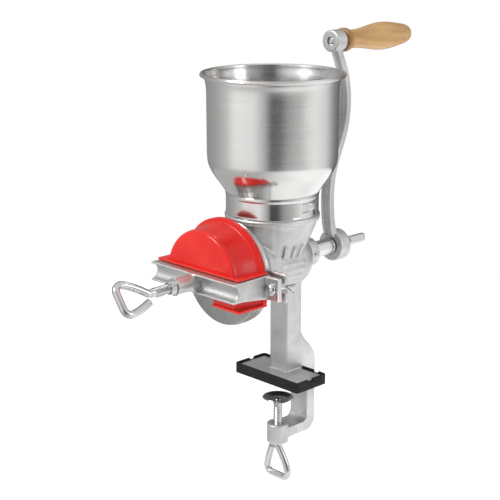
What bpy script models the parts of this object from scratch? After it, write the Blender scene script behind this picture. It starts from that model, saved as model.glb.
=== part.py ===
"""A hand-cranked table mill: cast body with a clamp, spun hopper, grinding discs, guard, yoke and crank.

Metres, +Z up. The origin is the centre of the rubber boot's underside, which rests on the table.
+Y runs along the feed-screw shaft towards the crank, and +X is across the mill.
"""
import math

import bmesh
import bpy
from mathutils import Matrix, Vector

# Overall places
SHAFT_Z = 0.1255
HOPPER_Y = -0.0125
GAP = 0.0003
SLIDE = 0.0004

# Base, post and clamp
BOOT_X, BOOT_Y, BOOT_H = 0.090, 0.0443, 0.0105
BOOT_WALL, BOOT_FLOOR = 0.0030, 0.0030
PLATE_H = 0.0055
POST_X, POST_FRONT, POST_BACK = 0.0246, -0.0030, 0.0177
WEB_FRONT, WEB_BACK = 0.0276, 0.0395
THROAT_DEPTH = 0.0515
ARM_H = 0.0110
CLAMP_Y = -0.0030
CLAMP_BOSS_R, CLAMP_BOSS_H = 0.0113, 0.0210
ROD_R, WIRE_R = 0.0046, 0.0037
THREAD_CLEARANCE = 0.0005
PAD_R, PAD_H, PAD_Z = 0.0160, 0.0048, -0.0195
EYE_HALF, EYE_LENGTH, EYE_END = 0.0145, 0.0330, 0.0030

# Body
COLLAR_R, COLLAR_Z, COLLAR_H = 0.0467, SHAFT_Z + 0.0450, 0.0055
SPIGOT_R, SPIGOT_TOP = 0.0440, SHAFT_Z + 0.0650
THROAT_R = 0.0400
FUNNEL_R = 0.0352
BARREL_R, BARREL_BORE = 0.0305, 0.0230
BOSS_R, BOSS_END = 0.0143, 0.0420
FLANGE_R, FLANGE_T = 0.0495, 0.0046
FACE_Y = -0.0683
LUG_X, LUG_H, LUG_DROP = 0.0720, 0.0280, 0.0020
SLOT_H = 0.0084

# Discs, measured forwards from the body's face
DISC_R, DISC_HOLE = 0.0500, 0.0235
FIXED_T, GRIND_GAP, TURNING_T, CARRIER_T = 0.0055, 0.0010, 0.0032, 0.0034
SCREW_RING, SCREW_R, SCREW_HEAD_R = 0.0370, 0.0021, 0.0040
CARRIER_HUB_R, CARRIER_HUB_T = 0.0130, 0.0060

# Shaft, bush and ball
SHAFT_R, SHAFT_OUT_R, BUSH_R = 0.0079, 0.0087, 0.0105
BUSH_BORE = 0.0082
SHAFT_NOSE = -0.0900
BALL_R = 0.0045
FLIGHT_R, FLIGHT_PITCH, FLIGHT_T, FLIGHT_TURNS = 0.0210, 0.0220, 0.0030, 3.0

# Yoke
YOKE_X, YOKE_ARM = 0.0570, 0.0043
BAR_FRONT, BAR_T, BAR_H = -0.1200, 0.0108, 0.0188
ARM_REAR_H = 0.0235
YOKE_LUG_T, LUG_GAP = 0.0052, 0.0040
YOKE_LUG_H = 0.0226
PIN_X, PIN_R, PIN_HEAD_R = 0.0633, 0.0031, 0.0060
SPLIT_R, SPLIT_OUT = 0.00065, 0.0150
YOKE_BOSS_R, YOKE_BOSS_END = ROD_R + 0.0031, -0.1400
CHANNEL_R = 0.0075

# Lock nut
LOCK_WASHER_T, LOCK_WASHER_R = 0.0012, 0.0085
WING_COLLAR_R, WING_COLLAR_T = ROD_R + 0.0026, 0.0060
WING_MIDDLE, WING_HALF, WING_T = 0.0108, 0.0048, 0.0030

# Guard
GUARD_FRONT, GUARD_BACK = -0.1085, -0.0746
GUARD_FRONT_R, GUARD_BACK_R, GUARD_WALL = 0.0474, 0.0522, 0.0010
GUARD_RIM_R, GUARD_RIM_T = 0.0546, 0.0046
GUARD_LOW, LIP_H = SHAFT_Z - 0.0210, 0.0022

# Hopper
RIM_R, RIM_Z, RIM_WIRE_R = 0.0700, SHAFT_Z + 0.1862, 0.0019
WALL_R, SHEET = 0.0638, 0.0010
NECK_R, NECK_LOW, NECK_TOP = 0.0456, SHAFT_Z + 0.0509, SHAFT_Z + 0.0690
SLOT_LOW, SLOT_TOP = SHAFT_Z + 0.0565, SHAFT_Z + 0.0660
LUG_TURN, SLOT_SWEEP = 15.0, 26.0
BAYONET_W = 0.0070

# Crank and grip
THROW = 0.2095
HUB_R, HUB_FRONT, HUB_T = 0.0161, 0.0725, 0.0149
SQUARE = 0.0110
TOP_R, TOP_FRONT, TOP_T = 0.0110, 0.0680, 0.0143
ARM_W, ARM_TOP_W, ARM_T = 0.0130, 0.0100, 0.0080
GRIP_LENGTH = 0.1040
BOLT_R, BOLT_BORE = 0.0030, 0.0034
THUMB_R, THUMB_TIP = 0.0040, 0.1255
TAB_X, TAB_Z = 0.0028, 0.0048

FIXED_FRONT = FACE_Y - GAP - FIXED_T
TURNING_BACK = FIXED_FRONT - GRIND_GAP
TURNING_FRONT = TURNING_BACK - TURNING_T
CARRIER_BACK = TURNING_FRONT - GAP
CARRIER_FRONT = CARRIER_BACK - CARRIER_T
YOKE_LUG_BACK = FACE_Y - LUG_GAP
YOKE_LUG_FRONT = YOKE_LUG_BACK - YOKE_LUG_T
LUG_Z = SHAFT_Z - LUG_DROP
CLAMP_TOP = -THROAT_DEPTH + 0.0035
GRIP_Z = SHAFT_Z + THROW
YOKE_TOP = max(SHAFT_Z + BAR_H / 2, LUG_Z + ARM_REAR_H / 2)
ROUND, FINE = 32, 40

COLOURS = {
    "cast": ((0.62, 0.62, 0.61, 1), 0.45, 1.0),
    "zinc": ((0.72, 0.72, 0.71, 1), 0.25, 1.0),
    "steel": ((0.60, 0.60, 0.60, 1), 0.30, 1.0),
    "hopper": ((0.70, 0.70, 0.69, 1), 0.18, 1.0),
    "red": ((0.75, 0.02, 0.02, 1), 0.30, 0.0),
    "rubber": ((0.02, 0.02, 0.02, 1), 0.60, 0.0),
    "wood": ((0.62, 0.40, 0.20, 1), 0.50, 0.0),
    "bronze": ((0.60, 0.42, 0.20, 1), 0.35, 1.0),
}


def clear_scene():
    for obj in list(bpy.data.objects):
        bpy.data.objects.remove(obj, do_unlink=True)


def new_collection(name):
    collection = bpy.data.collections.new(name)
    bpy.context.scene.collection.children.link(collection)
    return collection


def material(name, finish):
    colour, roughness, metallic = COLOURS[finish]
    made = bpy.data.materials.new(name)
    made.use_nodes = True
    shader = made.node_tree.nodes["Principled BSDF"]
    shader.inputs["Base Color"].default_value = colour
    shader.inputs["Roughness"].default_value = roughness
    shader.inputs["Metallic"].default_value = metallic
    return made


clear_scene()
PARTS = new_collection("table_mill")
CUTTERS = new_collection("table_mill_cutters")


def add_part(name, data, finish):
    """A new part in the mill's own collection, or a guide shape when it has no finish."""
    obj = bpy.data.objects.new(name, data)
    if finish:
        data.materials.append(material(name, finish))
        PARTS.objects.link(obj)
    else:
        CUTTERS.objects.link(obj)
        obj.hide_render = True
        obj.display_type = "WIRE"
    return obj


def mesh_of(name, shape):
    mesh = bpy.data.meshes.new(name)
    shape.to_mesh(mesh)
    shape.free()
    mesh.shade_smooth()
    mesh.set_sharp_from_angle(angle=math.radians(35))
    return mesh


def box(name, low, high, finish=None, edge=0.0):
    low, high = Vector(low), Vector(high)
    shape = bmesh.new()
    bmesh.ops.create_cube(shape, size=1.0)
    bmesh.ops.scale(shape, vec=high - low, verts=shape.verts)
    obj = add_part(name, mesh_of(name, shape), finish)
    obj.location = (low + high) / 2
    if edge:
        bevel = obj.modifiers.new("edge", "BEVEL")
        bevel.width = edge
        bevel.segments = 2
    return obj


def turn_to(obj, axis):
    """Stands a shape made along +Z on another axis."""
    if axis == "Y":
        obj.rotation_euler = (-math.pi / 2, 0, 0)
    elif axis == "X":
        obj.rotation_euler = (0, math.pi / 2, 0)
    return obj


def rod(name, radius, place, start, end, axis="Z", finish=None, sides=24):
    """A straight round bar along an axis through place, from start to end measured from place."""
    shape = bmesh.new()
    bmesh.ops.create_cone(shape, cap_ends=True, segments=sides, radius1=radius, radius2=radius,
                          depth=end - start, matrix=Matrix.Translation((0, 0, (start + end) / 2)))
    obj = add_part(name, mesh_of(name, shape), finish)
    obj.location = place
    return turn_to(obj, axis)


def turned(name, profile, place, axis="Z", finish=None, steps=ROUND, ring=False):
    """A turned shape: (radius, height) points down its outer side, closed on itself when it is a ring."""
    count = len(profile)
    edges = [(i, i + 1) for i in range(count - 1)]
    if ring:
        edges.append((count - 1, 0))
    mesh = bpy.data.meshes.new(name)
    mesh.from_pydata([(r, 0, h) for r, h in profile], edges, [])
    obj = add_part(name, mesh, finish)
    screw = obj.modifiers.new("turn", "SCREW")
    screw.steps = screw.render_steps = steps
    screw.use_merge_vertices = True
    screw.merge_threshold = 0.00001
    obj.location = place
    return turn_to(obj, axis)


def arc(centre, radius, start, end, count):
    """Points on an arc, angles in degrees."""
    angles = [math.radians(start + (end - start) * i / (count - 1)) for i in range(count)]
    return [(centre[0] + radius * math.cos(a), centre[1] + radius * math.sin(a)) for a in angles]


def solid_of(obj, name=None, finish=None):
    """The evaluated shape of an object as a plain welded mesh object in its place."""
    name = name or obj.name
    graph = bpy.context.evaluated_depsgraph_get()
    mesh = bpy.data.meshes.new_from_object(obj.evaluated_get(graph))
    shape = bmesh.new()
    shape.from_mesh(mesh)
    bmesh.ops.remove_doubles(shape, verts=shape.verts, dist=0.000001)
    shape.to_mesh(mesh)
    shape.free()
    matrix = obj.matrix_world.copy()
    bpy.data.objects.remove(obj, do_unlink=True)
    mesh.materials.clear()
    made = add_part(name, mesh, finish)
    made.matrix_world = matrix
    return made


def prism(name, outline, half, finish=None):
    """An outline of (y, z) points, made half as thick again each way across X."""
    curve = bpy.data.curves.new(name, "CURVE")
    curve.dimensions = "2D"
    curve.fill_mode = "BOTH"
    curve.extrude = half
    spline = curve.splines.new("POLY")
    spline.points.add(len(outline) - 1)
    for point, (y, z) in zip(spline.points, outline):
        point.co = (y, z, 0, 1)
    spline.use_cyclic_u = True
    obj = add_part(name + "_outline", curve, None)
    obj.rotation_euler = (math.pi / 2, 0, math.pi / 2)
    bpy.context.view_layer.update()
    return solid_of(obj, name, finish)


def bent_wire(name, points, radius, finish=None, resolution=2):
    curve = bpy.data.curves.new(name, "CURVE")
    curve.dimensions = "3D"
    curve.bevel_depth = radius
    curve.bevel_resolution = resolution
    curve.use_fill_caps = True
    spline = curve.splines.new("POLY")
    spline.points.add(len(points) - 1)
    for point, place in zip(spline.points, points):
        point.co = (*place, 1)
    obj = add_part(name + "_route", curve, None)
    bpy.context.view_layer.update()
    return solid_of(obj, name, finish)


def loft(name, sections, finish=None):
    """Skins closed sections of equal count, first to last, and closes both ends."""
    shape = bmesh.new()
    rings = [[shape.verts.new(point) for point in section] for section in sections]
    count = len(rings[0])
    for near, far in zip(rings, rings[1:]):
        for i in range(count):
            j = (i + 1) % count
            shape.faces.new((near[i], near[j], far[j], far[i]))
    shape.faces.new(rings[0])
    shape.faces.new(rings[-1])
    bmesh.ops.recalc_face_normals(shape, faces=shape.faces)
    return add_part(name, mesh_of(name, shape), finish)


def combine(obj, tool, operation):
    modifier = obj.modifiers.new(tool.name, "BOOLEAN")
    modifier.operation = operation
    modifier.solver = "EXACT"
    modifier.object = tool


def join(obj, *tools):
    for tool in tools:
        combine(obj, tool, "UNION")


def cut(obj, *tools):
    for tool in tools:
        combine(obj, tool, "DIFFERENCE")


def at(x=0.0, y=0.0, z=0.0):
    return (x, y, z)


SHAFT = at(z=SHAFT_Z)
HOPPER = at(y=HOPPER_Y)


# --- the casting ------------------------------------------------------------------------

def barrel_shape():
    """Flange, flared throat, barrel, rounded rear and bearing boss, along the shaft."""
    flare = [(FLANGE_R, FACE_Y), (FLANGE_R, FACE_Y + FLANGE_T), (BARREL_R + 0.008, FACE_Y + 0.0110),
             (BARREL_R + 0.001, FACE_Y + 0.0230), (BARREL_R, FACE_Y + 0.0320)]
    dome = arc((0, 0.0020), BARREL_R, 0, 55, 7)
    boss = [(BOSS_R, 0.0300), (BOSS_R, BOSS_END - 0.0010), (BOSS_R - 0.0010, BOSS_END)]
    outer = [(0, FACE_Y)] + flare + dome + boss + [(0, BOSS_END)]
    return turned("barrel_form", outer[::-1], SHAFT, "Y")


def funnel_shape():
    """Collar, bead and funnel down into the barrel."""
    bead = [(SPIGOT_R, COLLAR_Z + COLLAR_H), (COLLAR_R - 0.0010, COLLAR_Z + COLLAR_H),
            (COLLAR_R, COLLAR_Z + COLLAR_H - 0.0010), (COLLAR_R, COLLAR_Z + 0.0012),
            (COLLAR_R - 0.0020, COLLAR_Z)]
    side = [(SPIGOT_R - 0.0015, COLLAR_Z - 0.0070), (FUNNEL_R, COLLAR_Z - 0.0240),
            (FUNNEL_R - 0.0065, COLLAR_Z - 0.0380)]
    top = [(0, SPIGOT_TOP), (SPIGOT_R, SPIGOT_TOP)]
    return turned("funnel_form", top + bead + side + [(0, side[-1][1])], HOPPER)


def clamp_frame():
    """Post, flare behind the plate, web and lower arm, as one outline."""
    low = -THROAT_DEPTH - ARM_H
    outline = [(POST_FRONT, SHAFT_Z - 0.020), (POST_FRONT, BOOT_FLOOR + GAP)]
    outline += [(BOOT_Y / 2 + 0.0008, BOOT_FLOOR + GAP)]
    outline += arc((WEB_FRONT - 0.0045, -0.0030), 0.0045, 80, 0, 4)
    outline += arc((WEB_FRONT - 0.0060, -THROAT_DEPTH + 0.0060), 0.0060, 0, -80, 5)
    outline += [(CLAMP_Y, -THROAT_DEPTH), (CLAMP_Y, low)]
    outline += arc((WEB_BACK - 0.0130, low + 0.0130), 0.0130, -90, 0, 7)
    outline += [(WEB_BACK, 0.0170), (WEB_BACK - 0.0025, 0.0230), (WEB_BACK - 0.0090, 0.0320),
                (POST_BACK + 0.0050, 0.0400), (POST_BACK + 0.0010, 0.0460), (POST_BACK, 0.0520),
                (POST_BACK, SHAFT_Z - 0.020)]
    return prism("frame_form", outline, POST_X / 2)


def bayonet_lug(side):
    """A lug on the spigot that the hopper's neck drops over."""
    angle = math.radians(LUG_TURN + (180 if side < 0 else 0))
    lug = box("bayonet_form", (SPIGOT_R - 0.003, -BAYONET_W / 2, SLOT_LOW + 0.0015),
              (NECK_R - 0.0003, BAYONET_W / 2, SPIGOT_TOP - 0.0010))
    middle = Vector(lug.location)
    turn = Matrix.Rotation(angle, 4, "Z")
    lug.location = turn @ Vector((middle.x, 0, 0)) + Vector((0, HOPPER_Y, middle.z))
    lug.rotation_euler = (0, 0, angle)
    return lug


def mill_body():
    body = solid_of(barrel_shape(), "mill_body", "cast")
    half_x, half_y, low = BOOT_X / 2 - BOOT_WALL - GAP, BOOT_Y / 2 - BOOT_WALL - GAP, BOOT_FLOOR + GAP
    plate = box("plate_form", (-half_x, -half_y, low), (half_x, half_y, low + PLATE_H), edge=0.001)
    lugs = box("lug_form", (-LUG_X, FACE_Y + 0.0006, LUG_Z - LUG_H / 2),
               (LUG_X, FACE_Y + FLANGE_T + 0.0004, LUG_Z + LUG_H / 2), edge=0.0008)
    boss = rod("clamp_boss_form", CLAMP_BOSS_R, at(y=CLAMP_Y), CLAMP_TOP - CLAMP_BOSS_H, CLAMP_TOP, sides=32)
    join(body, solid_of(funnel_shape()), clamp_frame(), plate, lugs, boss, bayonet_lug(1), bayonet_lug(-1))
    throat_end = BARREL_BORE - 0.002
    throat = turned("throat_cut", [(0, SPIGOT_TOP + 0.01), (THROAT_R, SPIGOT_TOP + 0.01), (THROAT_R, COLLAR_Z),
                                   (throat_end, SHAFT_Z + 0.018), (throat_end, SHAFT_Z), (0, SHAFT_Z)], HOPPER)
    bore = turned("barrel_cut", [(0, 0.0200), (BARREL_BORE, 0.0200), (BARREL_BORE, FACE_Y - 0.01),
                                 (0, FACE_Y - 0.01)], SHAFT, "Y")
    bearing = rod("bearing_cut", BUSH_R + GAP, SHAFT, 0, BOSS_END + 0.01, "Y", sides=ROUND)
    clamp_bore = rod("clamp_cut", ROD_R + THREAD_CLEARANCE, at(y=CLAMP_Y), CLAMP_TOP - CLAMP_BOSS_H - 0.01,
                     CLAMP_TOP + 0.01)
    plug_hole = rod("plug_cut", 0.0026, at(y=BOSS_END - 0.0050, z=SHAFT_Z), BUSH_R - 0.002, BOSS_R + 0.01, "X")
    cut(body, throat, bore, bearing, clamp_bore, plug_hole)
    for side in (-1, 1):
        edges = sorted((side * (PIN_X - 0.0040), side * (LUG_X + 0.01)))
        cut(body, box("slot_cut", (edges[0], FACE_Y - 0.01, LUG_Z - SLOT_H / 2),
                      (edges[1], FACE_Y + 0.01, LUG_Z + SLOT_H / 2)))
        cut(body, rod("disc_screw_cut", SCREW_R + GAP, at(side * SCREW_RING, z=SHAFT_Z), FACE_Y - 0.01,
                      FACE_Y + FLANGE_T + 0.02, "Y", sides=16))
    return body


def base_rubber_pad():
    """A boot that wraps the base plate, open behind for the clamp's web."""
    pad = box("base_rubber_pad", (-BOOT_X / 2, -BOOT_Y / 2, 0), (BOOT_X / 2, BOOT_Y / 2, BOOT_H), "rubber", 0.0008)
    inside = box("boot_cut", (-BOOT_X / 2 + BOOT_WALL, -BOOT_Y / 2 + BOOT_WALL, BOOT_FLOOR),
                 (BOOT_X / 2 - BOOT_WALL, BOOT_Y / 2 - BOOT_WALL, BOOT_H + 0.01))
    gate = box("boot_gate_cut", (-POST_X / 2 - GAP, 0.010, BOOT_FLOOR), (POST_X / 2 + GAP, BOOT_Y, BOOT_H + 0.01))
    cut(pad, inside, gate)


def bearing_parts():
    turned("rear_bush", [(BUSH_BORE, BOSS_END - 0.0005), (BUSH_R, BOSS_END - 0.0005), (BUSH_R, 0.0215),
                         (BUSH_BORE, 0.0215)], SHAFT, "Y", "bronze", ring=True)
    head = BOSS_R + 0.0012
    turned("bush_oil_plug", [(0, head), (0.0018, head), (0.0030, head - 0.0008), (0.0030, BOSS_R + GAP),
                             (0.0023, BOSS_R + GAP), (0.0023, BUSH_R + 2 * GAP), (0, BUSH_R + 2 * GAP)],
           at(y=BOSS_END - 0.0050, z=SHAFT_Z), "X", "zinc", 20)


# --- discs and shaft --------------------------------------------------------------------

def disc_screw(name, place, front, length):
    """A countersunk screw whose head lies flush in a disc, pointing along +Y."""
    turned(name, [(0, front + length), (SCREW_R, front + length), (SCREW_R, front + 0.0020),
                  (SCREW_HEAD_R, front), (0, front)], place, "Y", "steel", 16)


def disc_hole(place, front, back):
    shank, head = SCREW_R + GAP, SCREW_HEAD_R + GAP
    return turned("disc_hole_cut", [(0, back + 0.005), (shank, back + 0.005), (shank, front + 0.0028),
                                    (head, front + 0.0008), (head, front - 0.005), (0, front - 0.005)],
                  place, "Y", steps=16)


def discs():
    fixed = turned("fixed_burr", [(DISC_HOLE, FACE_Y - GAP), (DISC_R, FACE_Y - GAP), (DISC_R, FIXED_FRONT),
                                  (DISC_HOLE, FIXED_FRONT)], SHAFT, "Y", "cast", FINE, ring=True)
    for name, side in (("burr_screw_far", -1), ("burr_screw_near", 1)):
        place = at(side * SCREW_RING, z=SHAFT_Z)
        cut(fixed, disc_hole(place, FIXED_FRONT, FACE_Y))
        disc_screw(name, place, FIXED_FRONT + 0.0004, FIXED_T + FLANGE_T)
    rotor_bore = SHAFT_R + GAP
    turning = turned("rotating_burr", [(CARRIER_HUB_R, TURNING_BACK), (DISC_R, TURNING_BACK),
                                       (DISC_R, TURNING_FRONT), (CARRIER_HUB_R, TURNING_FRONT)],
                     SHAFT, "Y", "cast", FINE, ring=True)
    hub_front = CARRIER_FRONT - CARRIER_HUB_T
    carrier = turned("burr_carrier", [(rotor_bore, CARRIER_BACK), (DISC_R - 0.0006, CARRIER_BACK),
                                      (DISC_R - 0.0006, CARRIER_FRONT + 0.0010), (DISC_R - 0.0016, CARRIER_FRONT),
                                      (CARRIER_HUB_R + 0.002, CARRIER_FRONT), (CARRIER_HUB_R, CARRIER_FRONT - 0.002),
                                      (CARRIER_HUB_R, hub_front), (rotor_bore, hub_front)],
                     SHAFT, "Y", "cast", FINE, ring=True)
    for name, side in (("rotor_screw_far", -1), ("rotor_screw_near", 1)):
        place = at(side * SCREW_RING, z=SHAFT_Z)
        cut(carrier, disc_hole(place, CARRIER_FRONT, CARRIER_BACK))
        cut(turning, rod("rotor_screw_cut", SCREW_R + GAP, place, TURNING_FRONT - 0.01, TURNING_BACK + 0.01,
                         "Y", sides=16))
        disc_screw(name, place, CARRIER_FRONT + 0.0004, CARRIER_T + TURNING_T - 0.0010)
    pin_y = CARRIER_FRONT - CARRIER_HUB_T / 2
    cut(carrier, rod("drive_pin_cut", 0.0020, at(y=pin_y, z=SHAFT_Z), -0.02, 0.02, "X", sides=12))
    rod("drive_pin", 0.0016, at(y=pin_y, z=SHAFT_Z), -CARRIER_HUB_R + 0.0005, CARRIER_HUB_R - 0.0005,
        "X", "steel", 12)


def feed_flight():
    """One rectangle swept along a helix round the shaft."""
    shape = bmesh.new()
    low, inner = -FLIGHT_T / 2, SHAFT_R - 0.0015
    corners = [(inner, 0, low), (FLIGHT_R, 0, low), (FLIGHT_R, 0, -low), (inner, 0, -low)]
    start = shape.faces.new([shape.verts.new(point) for point in corners])
    steps = int(14 * FLIGHT_TURNS)
    bmesh.ops.spin(shape, geom=[start] + list(start.verts) + list(start.edges), cent=(0, 0, 0), axis=(0, 0, 1),
                   dvec=(0, 0, FLIGHT_PITCH * FLIGHT_TURNS / steps), angle=2 * math.pi * FLIGHT_TURNS, steps=steps)
    bmesh.ops.recalc_face_normals(shape, faces=shape.faces)
    flight = add_part("flight_form", mesh_of("flight_form", shape), None)
    flight.location = at(y=FACE_Y + 0.0110, z=SHAFT_Z)
    return turn_to(flight, "Y")


def auger_shaft():
    end = HUB_FRONT + HUB_T
    shaft = turned("auger_shaft", [(0, HUB_FRONT - GAP), (SHAFT_OUT_R, HUB_FRONT - GAP),
                                   (SHAFT_R, BOSS_END + 0.0015), (SHAFT_R, SHAFT_NOSE + 0.001),
                                   (SHAFT_R - 0.001, SHAFT_NOSE), (0, SHAFT_NOSE)], SHAFT, "Y", "steel", 32)
    half = SQUARE / 2 - GAP
    square = box("square_form", (-half, HUB_FRONT - 0.005, SHAFT_Z - half), (half, end - 0.0010, SHAFT_Z + half))
    join(shaft, feed_flight(), square)
    pin_y = CARRIER_FRONT - CARRIER_HUB_T / 2
    tap = rod("thumb_cut", THUMB_R + GAP, SHAFT, end - 0.0130, end + 0.01, "Y", sides=20)
    cut(shaft, rod("shaft_pin_cut", 0.0020, at(y=pin_y, z=SHAFT_Z), -0.02, 0.02, "X", sides=12), tap)


def thrust_ball():
    shape = bmesh.new()
    bmesh.ops.create_uvsphere(shape, u_segments=14, v_segments=8, radius=BALL_R)
    ball = add_part("thrust_ball", mesh_of("thrust_ball", shape), "steel")
    ball.location = at(y=SHAFT_NOSE - GAP - BALL_R, z=SHAFT_Z)


# --- screws with a bent eye -------------------------------------------------------------

def eye_route(start, lean):
    """The wire's route: down from the rod, round a triangle with rounded corners, back beside the rod."""
    across = Vector((math.cos(lean), 0, math.sin(lean)))
    away = Vector((0, -1, 0))
    corner_r = 0.0052
    far = EYE_LENGTH - corner_r
    side = EYE_HALF - corner_r
    tilt = math.degrees(math.atan2(EYE_HALF, EYE_LENGTH))
    flat = [(0.0, -0.0040), (0.0, 0.0020)]
    flat += arc((side, far), corner_r, -tilt, 90, 6)
    flat += arc((-side, far), corner_r, 90, 180 + tilt, 6)
    flat += [(-2 * WIRE_R - 0.0004, EYE_END)]
    return [start + across * x + away * y for x, y in flat]


def screw_rod(name, tip, root, place, axis):
    """A threaded rod from its tip back to its root, where the eye begins."""
    return turned(name, [(0, tip), (ROD_R - 0.0008, tip), (ROD_R, tip - 0.0008), (ROD_R, root + 0.0010),
                         (WIRE_R, root), (0, root)], place, axis, "zinc", 24)


def adjusting_screw():
    tip = SHAFT_NOSE - 2 * GAP - 2 * BALL_R
    root = YOKE_BOSS_END - LOCK_WASHER_T - WING_COLLAR_T - 0.0240
    screw = screw_rod("adjusting_screw", tip, root, SHAFT, "Y")
    lean = math.radians(126)
    join(screw, bent_wire("adjusting_eye_form", eye_route(Vector((0, root, SHAFT_Z)), lean), WIRE_R))


def clamp_screw():
    """The clamp's screw, upright: the same eye, turned down."""
    tip = PAD_Z - PAD_H - GAP
    root = CLAMP_TOP - CLAMP_BOSS_H - 0.0040
    screw = screw_rod("clamp_screw", tip, root, at(y=CLAMP_Y), "Z")
    eye = bent_wire("clamp_eye_form", eye_route(Vector((0, 0, 0)), 0.0), WIRE_R)
    eye.rotation_euler = (math.pi / 2, 0, 0)
    eye.location = at(y=CLAMP_Y, z=root)
    join(screw, eye)


def clamp_pad():
    turned("clamp_pad", [(0, PAD_Z - 0.0024), (0.0034, PAD_Z - 0.0024), (0.0040, PAD_Z - 0.0034),
                         (PAD_R - 0.0050, PAD_Z - 0.0034), (PAD_R - 0.0010, PAD_Z), (PAD_R, PAD_Z - 0.0004),
                         (PAD_R - 0.0036, PAD_Z - PAD_H), (0, PAD_Z - PAD_H)], at(y=CLAMP_Y), "Z", "zinc", 40)


# --- yoke, its pins and the lock nut ----------------------------------------------------

def yoke():
    front, rear = BAR_H / 2, ARM_REAR_H / 2
    back = BAR_FRONT + BAR_T
    bend = back + 0.0016
    outline = [(BAR_FRONT, SHAFT_Z - front), (bend, SHAFT_Z - front), (YOKE_LUG_BACK, LUG_Z - rear),
               (YOKE_LUG_BACK, LUG_Z + rear), (bend, SHAFT_Z + front), (BAR_FRONT, SHAFT_Z + front)]
    made = prism("yoke", outline, YOKE_X, "cast")
    lugs = box("yoke_lug_form", (-LUG_X, YOKE_LUG_FRONT, LUG_Z - YOKE_LUG_H / 2),
               (LUG_X, YOKE_LUG_BACK - 0.0002, LUG_Z + YOKE_LUG_H / 2), edge=0.0007)
    inner = YOKE_X - YOKE_ARM
    inside = box("yoke_cut", (-inner, back, SHAFT_Z - 0.04), (inner, FACE_Y + 0.02, SHAFT_Z + 0.04))
    boss_root = BAR_H / 2 - 0.0007
    boss_back = back - 0.0015
    boss = turned("yoke_boss_form", [(0, boss_back), (boss_root, boss_back), (boss_root, BAR_FRONT + 0.0020),
                                     (YOKE_BOSS_R, BAR_FRONT - 0.0060), (YOKE_BOSS_R, YOKE_BOSS_END),
                                     (0, YOKE_BOSS_END)], SHAFT, "Y", steps=32)
    channel = rod("channel_cut", CHANNEL_R, at(y=BAR_FRONT, z=SHAFT_Z), -YOKE_X - 0.01, YOKE_X + 0.01, "X")
    bore = rod("yoke_bore_cut", ROD_R + THREAD_CLEARANCE, SHAFT, YOKE_BOSS_END - 0.01, back + 0.01, "Y")
    join(made, lugs)
    cut(made, inside, channel)
    join(made, boss)
    cut(made, bore)
    for side in (-1, 1):
        cut(made, rod("pin_cut", PIN_R + GAP, at(side * PIN_X, z=LUG_Z), YOKE_LUG_FRONT - 0.01,
                      YOKE_LUG_BACK + 0.01, "Y"))


def yoke_pins():
    """Dome-headed pins through both lugs, each held behind by a split pin."""
    seat = YOKE_LUG_FRONT - GAP
    end = FACE_Y + FLANGE_T + 0.0070
    split_y = FACE_Y + FLANGE_T + 0.0030
    dome = [(r, seat - 0.0042 + h) for r, h in arc((0, 0.0042), 0.0042, 0, -90, 5)]
    dome = [(r * PIN_HEAD_R / 0.0042, h) for r, h in dome]
    for name, side in (("far", -1), ("near", 1)):
        place = at(side * PIN_X, z=LUG_Z)
        pin = turned("yoke_pin_" + name, [(0, end), (PIN_R - 0.0005, end), (PIN_R, end - 0.0005),
                                          (PIN_R, seat)] + dome, place, "Y", "zinc", 16)
        hole = rod("split_cut", 0.0017, at(side * PIN_X, split_y, LUG_Z), -0.01, 0.01, "X", sides=12)
        cut(pin, hole)
        head = PIN_X - PIN_R - 0.0024
        tail = PIN_X + SPLIT_OUT
        leg = SPLIT_R + 0.0001
        flat = [(tail, leg + 0.0042), (PIN_X + PIN_R + 0.0012, leg), (PIN_X - PIN_R - 0.0008, leg)]
        loop = [(head - x, z) for z, x in arc((0, 0), 0.0019, 20, 160, 5)]
        flat += loop + [(x, -z) for x, z in flat[::-1]]
        bent_wire("split_pin_" + name, [(side * x, split_y, LUG_Z + z) for x, z in flat], SPLIT_R, "zinc")


def lock_nut():
    seat = YOKE_BOSS_END - GAP
    bore = ROD_R + THREAD_CLEARANCE
    turned("lock_washer", [(bore, seat), (LOCK_WASHER_R, seat), (LOCK_WASHER_R, seat - LOCK_WASHER_T),
                           (bore, seat - LOCK_WASHER_T)], SHAFT, "Y", "zinc", 32, ring=True)
    back = seat - LOCK_WASHER_T - GAP
    front = back - WING_COLLAR_T
    nut = turned("lock_wing_nut", [(bore, back), (WING_COLLAR_R, back), (WING_COLLAR_R - 0.0012, front),
                                   (bore, front)], SHAFT, "Y", "cast", 32, ring=True)
    for side in (-1, 1):
        wing = box("wing_form", (side * WING_MIDDLE - WING_HALF, front - 0.0055, -WING_T / 2),
                   (side * WING_MIDDLE + WING_HALF, back - 0.0016, WING_T / 2), edge=0.0012)
        lean = math.radians(-38)
        place = Matrix.Rotation(lean, 4, "Y") @ Vector((wing.location.x, 0, 0))
        wing.rotation_euler = (0, lean, 0)
        wing.location = (place.x, wing.location.y, SHAFT_Z + place.z)
        join(nut, wing)
    cut(nut, rod("nut_bore_cut", bore, SHAFT, front - 0.02, back + 0.01, "Y"))


# --- guard ------------------------------------------------------------------------------

def arch(radius, y, low):
    """A half-round arch over the shaft: its feet stand at low, on straight legs when low is under the shaft."""
    above = max(low - SHAFT_Z, 0)
    foot = math.degrees(math.asin(above / radius))
    top = [(x, z + SHAFT_Z) for x, z in arc((0, 0), radius, foot, 180 - foot, 25)]
    legs = [(radius, low)] if low < SHAFT_Z else []
    return [(x, y, z) for x, z in legs + top + [(-x, z) for x, z in legs]]


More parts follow.
